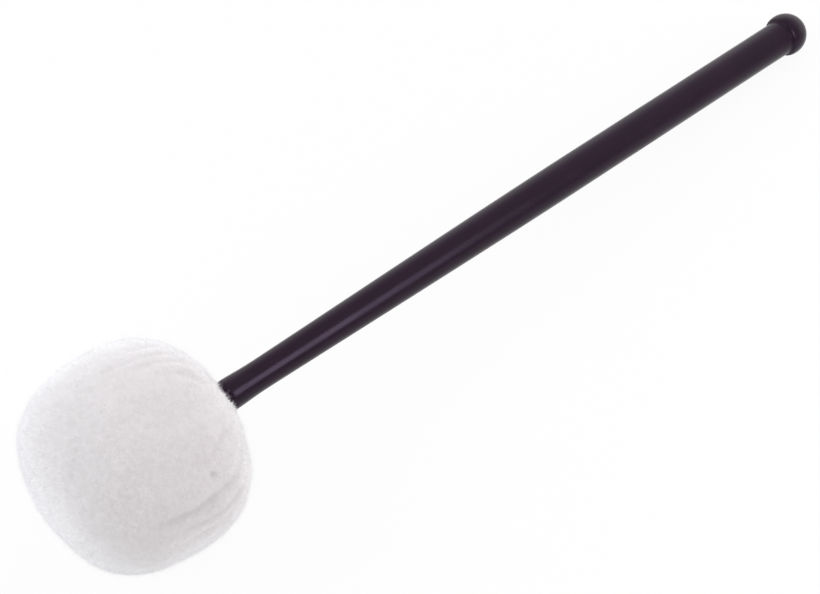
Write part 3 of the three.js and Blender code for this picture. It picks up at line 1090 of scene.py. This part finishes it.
    def grow(self, skin: Array, own: Array, shade: Array, facing: Array) -> list[Any]:
        """Grows the pile on the skin.

        Args:
            skin: the skin's points in the row frame, by row and column.
            own: the same points in the mallet's own frame.
            shade: the shade painted on each.
            facing: the normals that the sheen follows.

        Returns:
            The pile's pieces.
        """
        random = np.random.default_rng(SEED)
        rows, columns = skin.shape[:2]
        normal, area = normals_of(skin)
        cell = random.choice(rows * columns, self.fibres, p=area.ravel() / area.sum())
        row, column = np.divmod(cell, columns)
        down, side = random.random(self.fibres)[:, None], random.random(self.fibres)[:, None]
        after, beside = np.minimum(row + 1, rows - 1), (column + 1) % columns

        def between(values: Array) -> Array:
            """The values at each fibre's root, from the corners of its cell."""
            near, far = (values[at, column] * (1 - side) + values[at, beside] * side for at in (row, after))
            return near * (1 - down) + far * down

        place = between(own)
        strips = self.blades(between(skin), unit(between(normal)), place, random)
        fold, aim = between(shade[..., None])[:, 0], between(facing)
        order = np.argsort(place[:, 0], kind="stable")
        parts = np.array_split(order, self.sheaves)
        return [self.sheaf("fleece_pile_%d" % i, strips[part], aim[part], fold[part])
                for i, part in enumerate(parts, 1)]

    def blades(self, root: Array, up: Array, place: Array, random: Any) -> Array:
        """Shapes the fibres: short ones, longer wisps, and tufts that lie along the shaft.

        Args:
            root: their roots in the row frame.
            up: the skin's normals there.
            place: the same roots in the mallet's own frame.
            random: the source of random numbers.

        Returns:
            Five points for each fibre.
        """
        count = self.fibres
        out = np.hypot(place[:, 1], place[:, 2])
        at_neck = ((1 - step(out, *self.neck_tuft_span)) * (place[:, 0] > 0))[:, None]
        around = np.arctan2(-place[:, 1], -place[:, 2])
        in_tuft = ((0.5 + 0.5 * np.cos(self.neck_tufts * around + 1.6 * np.sin(5 * around))) ** 2)[:, None]
        lay = self.lay_of(place, up)
        wild = unit(across(random.normal(size=(count, 3)), up))
        wisp = (random.random(count) < self.wisps)[:, None]
        length = self.pile_length * (0.6 + 0.6 * random.random(count))[:, None]
        tail = np.minimum(random.exponential(self.wisp_spread, count), self.wisp_limit)[:, None]
        length = np.where(wisp, self.wisp_length + tail, length) * MM
        length = length * (1 - at_neck * (0.75 - 0.95 * in_tuft))
        axis = self.lie.to_row(on_axis(1.0, 0.0))
        axis = (axis[0] - axis[1]) / MM
        lean = up * 0.6 + (wild * 0.75 + lay * 0.4) * np.where(wisp, 0.4, 1.1)
        lean = unit(lean * (1 - at_neck) + (axis * 0.8 + up * 0.45 + wild * 0.35) * at_neck)
        curl = random.normal(size=(count, 3)) * self.pile_curl
        bent = unit(lean * 0.7 + lay * 0.3 * (1 - at_neck) + curl)
        middle = root + lean * (length * 0.55)
        middle, tip = self.tufted(root, middle, middle + bent * (length * 0.5), random)
        thick = (0.35 + 0.3 * random.random(count))[:, None]
        half = self.pile_width * MM * thick * np.where(wisp, 0.6, 1.1) * (1 + 0.9 * at_neck * in_tuft)
        side = unit(np.cross(lean, up)) * half
        foot = root - up * (self.root_depth * MM)
        strips = np.stack([foot - side, foot + side, middle + side * 0.6, middle - side * 0.6, tip], 1)
        return self.pressed(strips, self.pile_lift * MM)

    def lay_of(self, place: Array, up: Array) -> Array:
        """The way the pile is stroked at each root, in swirls and finer strokes.

        Args:
            place: the roots in the mallet's own frame.
            up: the skin's normals there, in the row frame.

        Returns:
            Directions along the skin, of length up to about 1.
        """
        some = place[::self.stroke_places]
        kinds = ((self.swirl_size, (1.7, 13.3, 27.9)), (self.stroke_size, (41.2, 53.6, 67.1)))
        swirl, finer = (np.stack([grain_at(some, size, 2, shift) for shift in shifts], -1)
                        for size, shifts in kinds)
        return across((swirl * 1.3 + finer * 0.9)[nearest(place, some)], up)

    def tufted(self, root: Array, middle: Array, tip: Array, random: Any) -> tuple[Array, Array]:
        """Draws the fibres' tips together into tufts.

        Args:
            root, middle, tip: the fibres' points in the row frame.
            random: the source of random numbers.

        Returns:
            The new middles and tips.
        """
        chosen = random.choice(len(root), len(root) // self.tuft_size, replace=False)
        centre = tip[chosen][nearest(root, root[chosen])]
        pull = 0.1 + 0.2 * random.random(len(root))[:, None]
        return middle * (1 - pull * 0.35) + centre * pull * 0.35, tip * (1 - pull) + centre * pull

    def sheaf(self, name: str, strips: Array, facing: Array, fold: Array) -> Any:
        """Makes one piece of the pile.

        Args:
            name: its name.
            strips: five points for each fibre.
            facing: the normal that each fibre's sheen follows.
            fold: the shade painted on each fibre.

        Returns:
            The Blender object.
        """
        count = len(strips)
        number = np.arange(count)[:, None]
        data = bpy.data.meshes.new(name)
        data.vertices.add(count * FIBRE_POINTS)
        data.vertices.foreach_set("co", strips.astype(np.float32).ravel())
        loops = (number * FIBRE_POINTS + np.array([FIBRE_CORNERS])).ravel()
        data.loops.add(len(loops))
        data.loops.foreach_set("vertex_index", loops.astype(np.int32))
        first = (number * len(FIBRE_CORNERS) + np.array([FIBRE_FACES])).ravel()
        data.polygons.add(len(first))
        data.polygons.foreach_set("loop_start", first.astype(np.int32))
        data.polygons.foreach_set("use_smooth", np.ones(len(first), bool))
        data.update(calc_edges=True)
        mark(data, SKIN, np.repeat(facing, FIBRE_POINTS, 0))
        mark(data, FOLD_SHADE, np.repeat(fold, FIBRE_POINTS))
        side = math.ceil(math.sqrt(count))
        cell = np.stack(np.divmod(np.arange(count), side)[::-1], -1)[:, None, :]
        corners = np.array([
            [0.1, 0.1], [0.9, 0.1], [0.8, 0.5], [0.2, 0.5], [0.2, 0.5], [0.8, 0.5], [0.5, 0.9],
        ])
        chart = data.uv_layers.new(name=BAKE_MAP)
        chart.uv.foreach_set("vector", ((cell + corners) / side).astype(np.float32).ravel())
        data.materials.append(self.pile.material())
        piece = put(name, data)
        piece.visible_shadow = False
        piece.visible_diffuse = False
        return settle(piece)


# The felt and cords inside the head


@dataclass
class FeltFilling(Part):
    """The felt inside the cover: the wound strip, the pads and the two stitched cups. The edge of a turn
    is given by shares of its thickness and how far each is drawn in."""

    head_radius: float = 44.45
    crown: float = 40.6
    neck: float = 41.2
    roundness: float = 0.82
    cover_wall: float = 7.0
    cover_gap: float = 0.45
    cup_wall: float = 6.2
    cup_corner: float = 0.4
    band_ease: float = 2.5
    edge_ease: float = 0.5
    face_ease: float = 0.2
    fit_gap: float = 0.3
    neck_bore: float = 6.45
    core_radius: float = 17.45
    core_length: float = 38.0
    core_start: float = -18.7
    turns: int = 4
    turn_steps: int = 72
    turn_gap: float = 0.5
    thin_end: float = 0.3
    thin_run: float = 0.12
    turn_edge: tuple[tuple[float, float], ...] = (
        (0.0, 0.35), (0.14, 0.08), (0.5, 0.0), (0.86, 0.08), (1.0, 0.35),
    )
    stitches: int = 24
    stitch_reach: float = 3.2
    stitch_in: float = 1.4
    stitch_margin: float = 1.4
    pull_depth: float = 0.45
    pull_width: float = 2.0
    pull_start: float = 5.0
    pull_full: float = 3.0
    thread_radius: float = 0.4
    thread_twist: float = 1.6
    string_radius: float = 0.6
    string_twist: float = 2.6
    string_turns: int = 3
    string_gap: float = 0.3
    cup_sides: int = 144
    pad_sides: int = 96
    cup_bands: int = 24
    filling_bands: int = 30
    rim_step: float = 0.6
    thread_steps: int = 1000
    string_steps: int = 460
    cup_lumps: float = 0.12
    pad_lumps: float = 0.1
    wrap_lumps: float = 0.12
    wrap_lump_size: float = 4.0
    soft: Felt = Felt("soft_felt", srgb(214, 208, 194), srgb(240, 236, 226), 1100)
    hard: Felt = Felt("hard_felt", srgb(186, 177, 158), srgb(222, 214, 197), 1500)
    cotton: Cotton = Cotton()

    def within(self, depth: float, bands: int) -> Array:
        """The outline of what lies that far inside the cover."""
        off = self.cover_wall + self.cover_gap + depth
        return barrel(self.head_radius - off, self.crown - off, self.neck - off, self.roundness, bands)

    def stitched(self, along: Array, radius: Array, angle: Array) -> Array:
        """How far each stitch pulls the felt in beside the joint.

        Args:
            along, radius, angle: places on the cups.

        Returns:
            The depth at each point, in mm.
        """
        surface = self.head_radius - self.cover_wall
        outside = step(radius, surface - self.pull_start, surface - self.pull_full)
        pull = 0.5 + 0.5 * np.sign(along) * np.sin(self.stitches * (math.pi - angle))
        beside = swell(np.abs(along), self.stitch_reach, self.pull_width)
        return self.pull_depth * outside * pull ** 2 * beside

    def cups(self) -> list[Any]:
        """The two soft felt half shells.

        Returns:
            The pieces.
        """
        outer, inner = self.within(0, self.cup_bands), self.within(self.cup_wall, self.cup_bands)
        low = self.head_radius - self.cover_wall - self.cover_gap - self.stitch_in
        band, half, corner = self.stitch_reach + self.stitch_margin, self.fit_gap / 2, self.cup_corner
        bore, past = self.neck_bore, self.neck_bore + corner
        shown, edged = band + self.band_ease, half + self.edge_ease
        lip = np.array([[-band, low], [-band / 2, low], [-half - corner, low], [-half, low - corner]])
        outside, lining = outer[outer[:, 0] < -shown], inner[inner[:, 0] < -edged]
        crown = np.vstack([outside, lip, [[-half, lining[-1, 1] + corner]], lining[::-1]])
        outside = outer[(outer[:, 0] > shown) & (outer[:, 1] > past)]
        lining = inner[(inner[:, 0] > edged) & (inner[:, 1] > past)]
        opening = [[outside[-1, 0], bore], [lining[-1, 0], bore]]
        edge = [[half, lining[0, 1] + corner]]
        neck = np.vstack([edge, lip[::-1] * np.array([-1, 1]), outside, opening, lining[::-1]])
        made = []
        for end, outline in (("crown", crown), ("neck", neck)):
            piece = self.turned(
                end + "_felt_shell", outline, self.cup_sides, self.soft, self.cup_lumps, self.stitched,
            )
            made.append(settle(piece, end + "_felt_cup"))
        return made

    def filling(self) -> Array:
        """The outline of the barrel that the wound strip and the pads fill."""
        return self.within(self.cup_wall + self.fit_gap, self.filling_bands)

    def pads(self) -> list[Any]:
        """The domed pads over the ends of the core.

        Returns:
            The pieces.
        """
        shape, bore = self.filling(), self.neck_bore
        face = self.core_start - self.fit_gap
        dome = shape[shape[:, 0] < face - self.face_ease]
        edge = dome[-1, 1]
        rim = [[face, edge], [face, edge - self.rim_step], [face, self.core_radius / 2], [face, 0]]
        crown = np.vstack([dome, rim])
        face = self.core_start + self.core_length + self.fit_gap
        dome = shape[(shape[:, 0] > face + self.face_ease) & (shape[:, 1] > bore + self.fit_gap)]
        rim = [[dome[-1, 0], bore], [face, bore], [face, self.core_radius]]
        neck = np.vstack([[[face, dome[0, 1]]], dome, rim])
        made = []
        for end, outline in (("crown", crown), ("neck", neck)):
            piece = self.turned(end + "_felt_dome", outline, self.pad_sides, self.hard, self.pad_lumps)
            made.append(settle(piece, end + "_felt_pad"))
        return made

    def wrap(self) -> Any:
        """The strip of hard felt wound round the core, trimmed to the barrel.

        Returns:
            The piece.
        """
        shape = self.filling()
        widest = shape[:, 1].argmax()
        inner = self.core_radius + self.fit_gap
        pitch = (shape[widest, 1] - inner + self.turn_gap) / (self.turns + 1)
        turn = np.linspace(0, self.turns, self.turns * self.turn_steps + 1)
        ended = np.clip(np.minimum(turn, self.turns - turn) / self.thin_run, 0, 1)
        full = self.thin_end + (1 - self.thin_end) * ended
        low, high = inner + pitch * turn, inner + pitch * turn + (pitch - self.turn_gap) * full
        crown = (shape[: widest + 1], np.maximum, self.core_start, 1, self.turn_edge)
        core_end = self.core_start + self.core_length
        neck = (shape[widest:][::-1], np.minimum, core_end, -1, self.turn_edge[::-1])
        rings = []
        for outline, bound, limit, inward, profile in (crown, neck):
            for share, inset in profile:
                radius = low + (high - low) * share
                reach = bound(np.interp(radius, outline[:, 1], outline[:, 0]), limit) + inward * inset
                rings.append(np.stack([reach, radius], -1))
        along, out = np.moveaxis(np.stack(rings, 1), -1, 0)
        angle = TURN * turn[:, None]
        flat = np.stack([along, out * np.sin(angle), out * np.cos(angle)], -1).reshape(-1, 3)
        flat[:, 0] += self.wrap_lumps * grain_at(flat, self.wrap_lump_size, 2)
        count = len(rings)
        ends = [list(range(count)), [(turn.size - 1) * count + i for i in range(count)][::-1]]
        faces = grid_faces(turn.size, count)[:, ::-1].tolist() + ends
        piece = mesh_piece("wound_felt", self.lie.to_row(flat), faces, self.hard, FELT_EDGE)
        return settle(piece, "hard_felt_wrap")

    def stitching(self) -> Any:
        """The thread that zigzags over the joint of the cups.

        Returns:
            The piece.
        """
        radius = self.head_radius - self.cover_wall - self.cover_gap - self.stitch_in + self.fit_gap
        radius += self.thread_radius
        angle = np.linspace(0, TURN - 4 * self.thread_radius / radius, self.thread_steps)
        along = (self.stitch_reach - self.thread_radius) * np.sin(self.stitches * angle)
        path = np.stack([along, radius * np.sin(angle), radius * np.cos(angle)], -1)
        piece = self.cord("cup_stitches", path, self.thread_radius, self.thread_twist, self.cotton)
        return settle(piece, "felt_stitching")

    def drawstring(self) -> Any:
        """The cord that draws the cover in round the neck.

        Returns:
            The piece.
        """
        radius = self.neck_bore + self.string_radius
        spare = 2 * self.string_radius / (TURN * radius)
        turn = np.linspace(-spare, self.string_turns + spare, self.string_steps)
        wound = np.clip(turn, 0, self.string_turns)
        past = (turn - wound) * 2 * math.pi * radius
        angle = TURN * wound
        start = self.neck - self.cover_wall - self.cover_gap + self.fit_gap + self.string_radius
        along = start + (2 * self.string_radius + self.string_gap) * wound
        side = radius * np.sin(angle) + past * np.cos(angle)
        up = radius * np.cos(angle) - past * np.sin(angle)
        path = np.stack([along, side, up], -1)
        piece = self.cord("neck_drawstring", path, self.string_radius, self.string_twist, self.cotton)
        return settle(piece, "drawstring")

    def build(self) -> list[Any]:
        """Makes every piece of the filling."""
        return [*self.cups(), *self.pads(), self.wrap(), self.stitching(), self.drawstring()]


# The handle and what holds the core on it


@dataclass
class Handle(Part):
    """The turned and lacquered handle."""

    grip_radius: float = 7.95
    neck_radius: float = 6.15
    tenon_radius: float = 5.5
    tenon_bevel: float = 1.0
    pilot_radius: float = 2.3
    pilot_end: float = 6.5
    pilot_point: float = 4.0
    tenon_end: float = -13.7
    tenon_seat: float = 19.6
    neck_start: float = 39.0
    taper_start: float = 53.0
    taper_length: float = 175.0
    ease: tuple[float, float] = (0.1, 0.3)
    flare: float = 0.45
    flare_place: float = 45.5
    flare_widths: tuple[float, float] = (2.2, 8.0)
    knob_radius: float = 9.7
    knob_place: float = 361.7
    knob_shoulder: float = 2.1
    knob_back: float = 1.2
    knob_cove: float = 0.7
    knob_clear: float = 12.0
    sides: int = 192
    cove_points: int = 9
    back_points: int = 11
    ball_points: int = 49
    neck_points: int = 36
    taper_points: int = 60
    grip_points: int = 24
    finish: BlackLacquer = BlackLacquer()

    def knob(self) -> list[tuple[float, float]]:
        """The knob's outline: the cove, the rounded back edge and the ball.

        Returns:
            Points of place along the axis and radius.
        """
        edge = math.sqrt(self.knob_radius ** 2 - self.knob_shoulder ** 2)
        back = self.knob_place - self.knob_shoulder - self.knob_back
        points = []
        for turn in math.pi / 2 * np.linspace(0, 1, self.cove_points):
            points.append((back - self.knob_cove * (1 - math.sin(turn)),
                           self.grip_radius + self.knob_cove * (1 - math.cos(turn))))
        foot = np.array(points[-1])
        bend = np.array([back, edge - self.knob_back * self.knob_shoulder / edge])
        rim = np.array([self.knob_place - self.knob_shoulder, edge])
        for share in np.linspace(0, 1, self.back_points)[1:]:
            points.append(tuple((1 - share) ** 2 * foot + 2 * share * (1 - share) * bend + share ** 2 * rim))
        first = math.acos(-self.knob_shoulder / self.knob_radius)
        for turn in first * (1 - np.linspace(0, 1, self.ball_points)[1:]):
            reach, out = self.knob_radius * math.cos(turn), self.knob_radius * math.sin(turn)
            points.append((self.knob_place + reach, out))
        return points

    def outline(self) -> Array:
        """The handle's outline from its pilot hole to the end of the knob.

        Returns:
            Points of place along the axis and radius.
        """
        tenon = [
            (self.pilot_end + self.pilot_radius, 0.0),
            (self.pilot_end - self.pilot_point, self.pilot_radius),
            (self.tenon_end, self.pilot_radius),
            (self.tenon_end, self.tenon_radius - self.tenon_bevel),
            (self.tenon_end + self.tenon_bevel, self.tenon_radius),
            (self.tenon_seat, self.tenon_radius),
            (self.tenon_seat, self.neck_radius),
        ]
        plain = np.linspace(self.neck_start, self.taper_start, self.neck_points)[:-1]
        neck = [(x, self.neck_radius) for x in plain]
        share = np.linspace(0, 1, self.taper_points)
        grip = self.taper_start + self.taper_length
        bends = (self.taper_start, self.taper_start + self.taper_length * self.ease[0],
                 grip - self.taper_length * self.ease[1], grip)
        radii = (self.neck_radius, self.neck_radius, self.grip_radius, self.grip_radius)
        weights = ((1 - share) ** 3, 3 * (1 - share) ** 2 * share, 3 * (1 - share) * share ** 2, share ** 3)
        along, radius = (sum(w * p for w, p in zip(weights, poles)) for poles in (bends, radii))
        plain = np.linspace(grip, self.knob_place - self.knob_clear, self.grip_points)[1:]
        straight = [(x, self.grip_radius) for x in plain]
        made = np.array(tenon + neck + list(zip(along, radius)) + straight + self.knob())
        past = made[:, 0] - self.flare_place
        flare = self.flare * swell(past, 0, np.where(past < 0, *self.flare_widths))
        made[:, 1] += flare * (made[:, 0] > self.tenon_seat)
        return made

    def build(self) -> list[Any]:
        """Makes the handle."""
        piece = self.turned("lacquered_handle", self.outline(), self.sides, self.finish, sharp=TURNED_EDGE)
        return [settle(piece, "handle")]


@dataclass
class CoreParts:
    """The core, its washer and its screw, which keep their own shapes."""

    wood: BareMaple = BareMaple()
    steel: ZincSteel = ZincSteel()

    def build(self) -> list[Any]:
        """Gives each piece its finish.

        Returns:
            The pieces.
        """
        finishes = {"core": self.wood, "core_washer": self.steel, "core_screw": self.steel}
        for node, finish in finishes.items():
            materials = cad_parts[node].data.materials
            materials.clear()
            materials.append(finish.material())
        return [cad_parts[node] for node in finishes]


# Camera and studio


class Lamp(Enum):
    """The studio's lamps."""

    KEY = "key_softbox"
    FILL = "side_fill"
    GLEAM = "gleam_card"


@dataclass(frozen=True)
class Softbox:
    """A rectangular lamp: the point that it faces, the direction and distance from there to the lamp,
    its width along the mallet's axis and its height, in metres, its brightness, where 1 is white, and
    its tint."""

    kind: Lamp
    aim: Triple
    toward: Triple
    distance: float
    size: tuple[float, float]
    glow: float
    tint: Colour

    def build(self, axis: Vector) -> None:
        """Makes the lamp.

        Args:
            axis: the direction of the mallet's axis.
        """
        data = bpy.data.lights.new(self.kind.value, "AREA")
        data.shape = "RECTANGLE"
        data.size, data.size_y = self.size
        data.energy = self.glow * math.pi * self.size[0] * self.size[1]
        data.color = self.tint[:3]
        made = put(self.kind.value, data)
        place = Vector(self.aim) + Vector(self.toward) * self.distance
        back = (place - Vector(self.aim)).normalized()
        wide = (axis - back * axis.dot(back)).normalized()
        made.matrix_world = Matrix((wide, back.cross(wide), back)).transposed().to_4x4()
        made.location = place
        made.visible_diffuse = self.kind is not Lamp.GLEAM
        made.visible_glossy = self.kind is not Lamp.FILL


HEAD: Triple = (-0.1645, 0, 0.044)
NECK: Triple = (-0.105, 0, 0.037)


@dataclass
class Studio:
    """The camera, the lamps, the white floor and the surroundings."""

    lie: Lie
    turn: float = math.radians(39.4993)
    rise: float = math.radians(60.0)
    lens: float = 83.418
    sensor: float = 36.0
    distance: float = 813.52
    clip: tuple[float, float] = (0.05, 20.0)
    aim: tuple[float, float] = (105.782, 95.665)
    floor_reach: float = 3.0
    floor_white: float = 0.92
    floor_glow: float = 0.92
    horizon: float = 1.67
    overhead_span: tuple[float, float] = (0.12, 0.85)
    overhead_loss: float = 0.75
    dim_from: float = 0.3
    dim_sides: tuple[tuple[Triple, float, float], ...] = (
        ((-0.1, -0.93, 0.33), 0.85, 0.62), ((-0.235, 0.875, 0.423), 0.95, 0.27),
    )
    lamps: tuple[Softbox, ...] = (
        Softbox(Lamp.KEY, HEAD, (-0.534, 0.534, 0.656), 1.1, (0.7, 0.7), 1.98, srgb(234, 242, 255)),
        Softbox(Lamp.FILL, HEAD, (0.788, -0.461, 0.408), 0.9, (0.4, 0.4), 3.1, srgb(255, 244, 247)),
        Softbox(Lamp.GLEAM, NECK, (0.384, -0.650, 0.659), 0.8, (0.26, 0.46), 5.3, srgb(244, 236, 255)),
    )

    def camera(self) -> None:
        """Makes the camera, which looks at a place on the floor beside the head."""
        right = Vector((math.cos(self.turn), -math.sin(self.turn), 0))
        level = Vector((math.sin(self.turn), math.cos(self.turn), 0))
        forward = level * math.cos(self.rise) - Vector((0, 0, math.sin(self.rise)))
        middle = self.lie.crown_x + self.lie.crown_reach * math.cos(self.lie.tilt)
        target = (Vector((middle, 0, 0)) + right * self.aim[0] + level * self.aim[1]) * MM
        data = bpy.data.cameras.new("photo_camera")
        data.lens, data.sensor_width = self.lens, self.sensor
        data.clip_start, data.clip_end = self.clip
        made = put("photo_camera", data)
        made.location = target - forward * self.distance * MM
        made.rotation_euler = (-forward).to_track_quat("Z", "Y").to_euler()
        bpy.context.scene.camera = made

    def floor(self) -> None:
        """Makes the floor, white to the camera and in reflections, with the object's shadow on it."""
        data = bpy.data.meshes.new("studio_floor")
        corners = ((-1, -1), (1, -1), (1, 1), (-1, 1))
        reach = self.floor_reach
        data.from_pydata([(x * reach, y * reach, 0) for x, y in corners], [], [(0, 1, 2, 3)])
        paint = bpy.data.materials.new("studio_white")
        tree = ShaderTree(paint)
        rays = tree.node("ShaderNodeLightPath")
        seen = (rays["Is Camera Ray"] + rays["Is Glossy Ray"] + rays["Is Transmission Ray"]).at_most(1.0)
        matt = tree.node("ShaderNodeBsdfDiffuse", {}, {"Color": (*[self.floor_white] * 3, 1)})
        glow = tree.node("ShaderNodeEmission", {}, {"Color": WHITE, "Strength": 1.0})
        mixed = tree.node("ShaderNodeMixShader", {}, {0: seen * self.floor_glow, 1: matt[0], 2: glow[0]})
        tree.node("ShaderNodeOutputMaterial", {}, {"Surface": mixed[0]})
        data.materials.append(paint)
        put("studio_floor", data)

    def surroundings(self) -> None:
        """Makes the pale room, brighter round the horizon than overhead and dimmed towards two sides."""
        world = bpy.data.worlds.new("pale_room")
        bpy.context.scene.world = world
        tree = ShaderTree(world)
        place = tree.node("ShaderNodeTexCoord")["Generated"]
        height = tree.node("ShaderNodeSeparateXYZ", {}, {0: place})[2]
        strength = self.horizon - tree.ramp(height, *self.overhead_span) * self.overhead_loss
        for side, full, loss in self.dim_sides:
            toward = tree.node("ShaderNodeVectorMath", {"operation": "DOT_PRODUCT"}, {0: place, 1: side})
            strength = strength * (1 - tree.ramp(toward["Value"], self.dim_from, full) * loss)
        room = tree.node("ShaderNodeBackground", {}, {"Color": (1.0, 0.995, 1.0, 1), "Strength": strength})
        tree.node("ShaderNodeOutputWorld", {}, {"Surface": room[0]})

    def build(self) -> None:
        """Sets up the whole studio."""
        self.camera()
        for lamp in self.lamps:
            lamp.build(Vector((math.cos(self.lie.tilt), 0, -math.sin(self.lie.tilt))))
        self.floor()
        self.surroundings()
        bpy.context.scene.view_settings.view_transform = "Standard"


def main() -> None:
    """Builds the mallet, its camera and its studio."""
    lie = Lie()
    Studio(lie).build()
    for part in (Handle(lie), CoreParts(), FeltFilling(lie), FleeceCover(lie)):
        for piece in part.build():
            log.info("%s: %d faces", piece.name, len(piece.data.polygons))


if __name__ == "__main__":
    main()
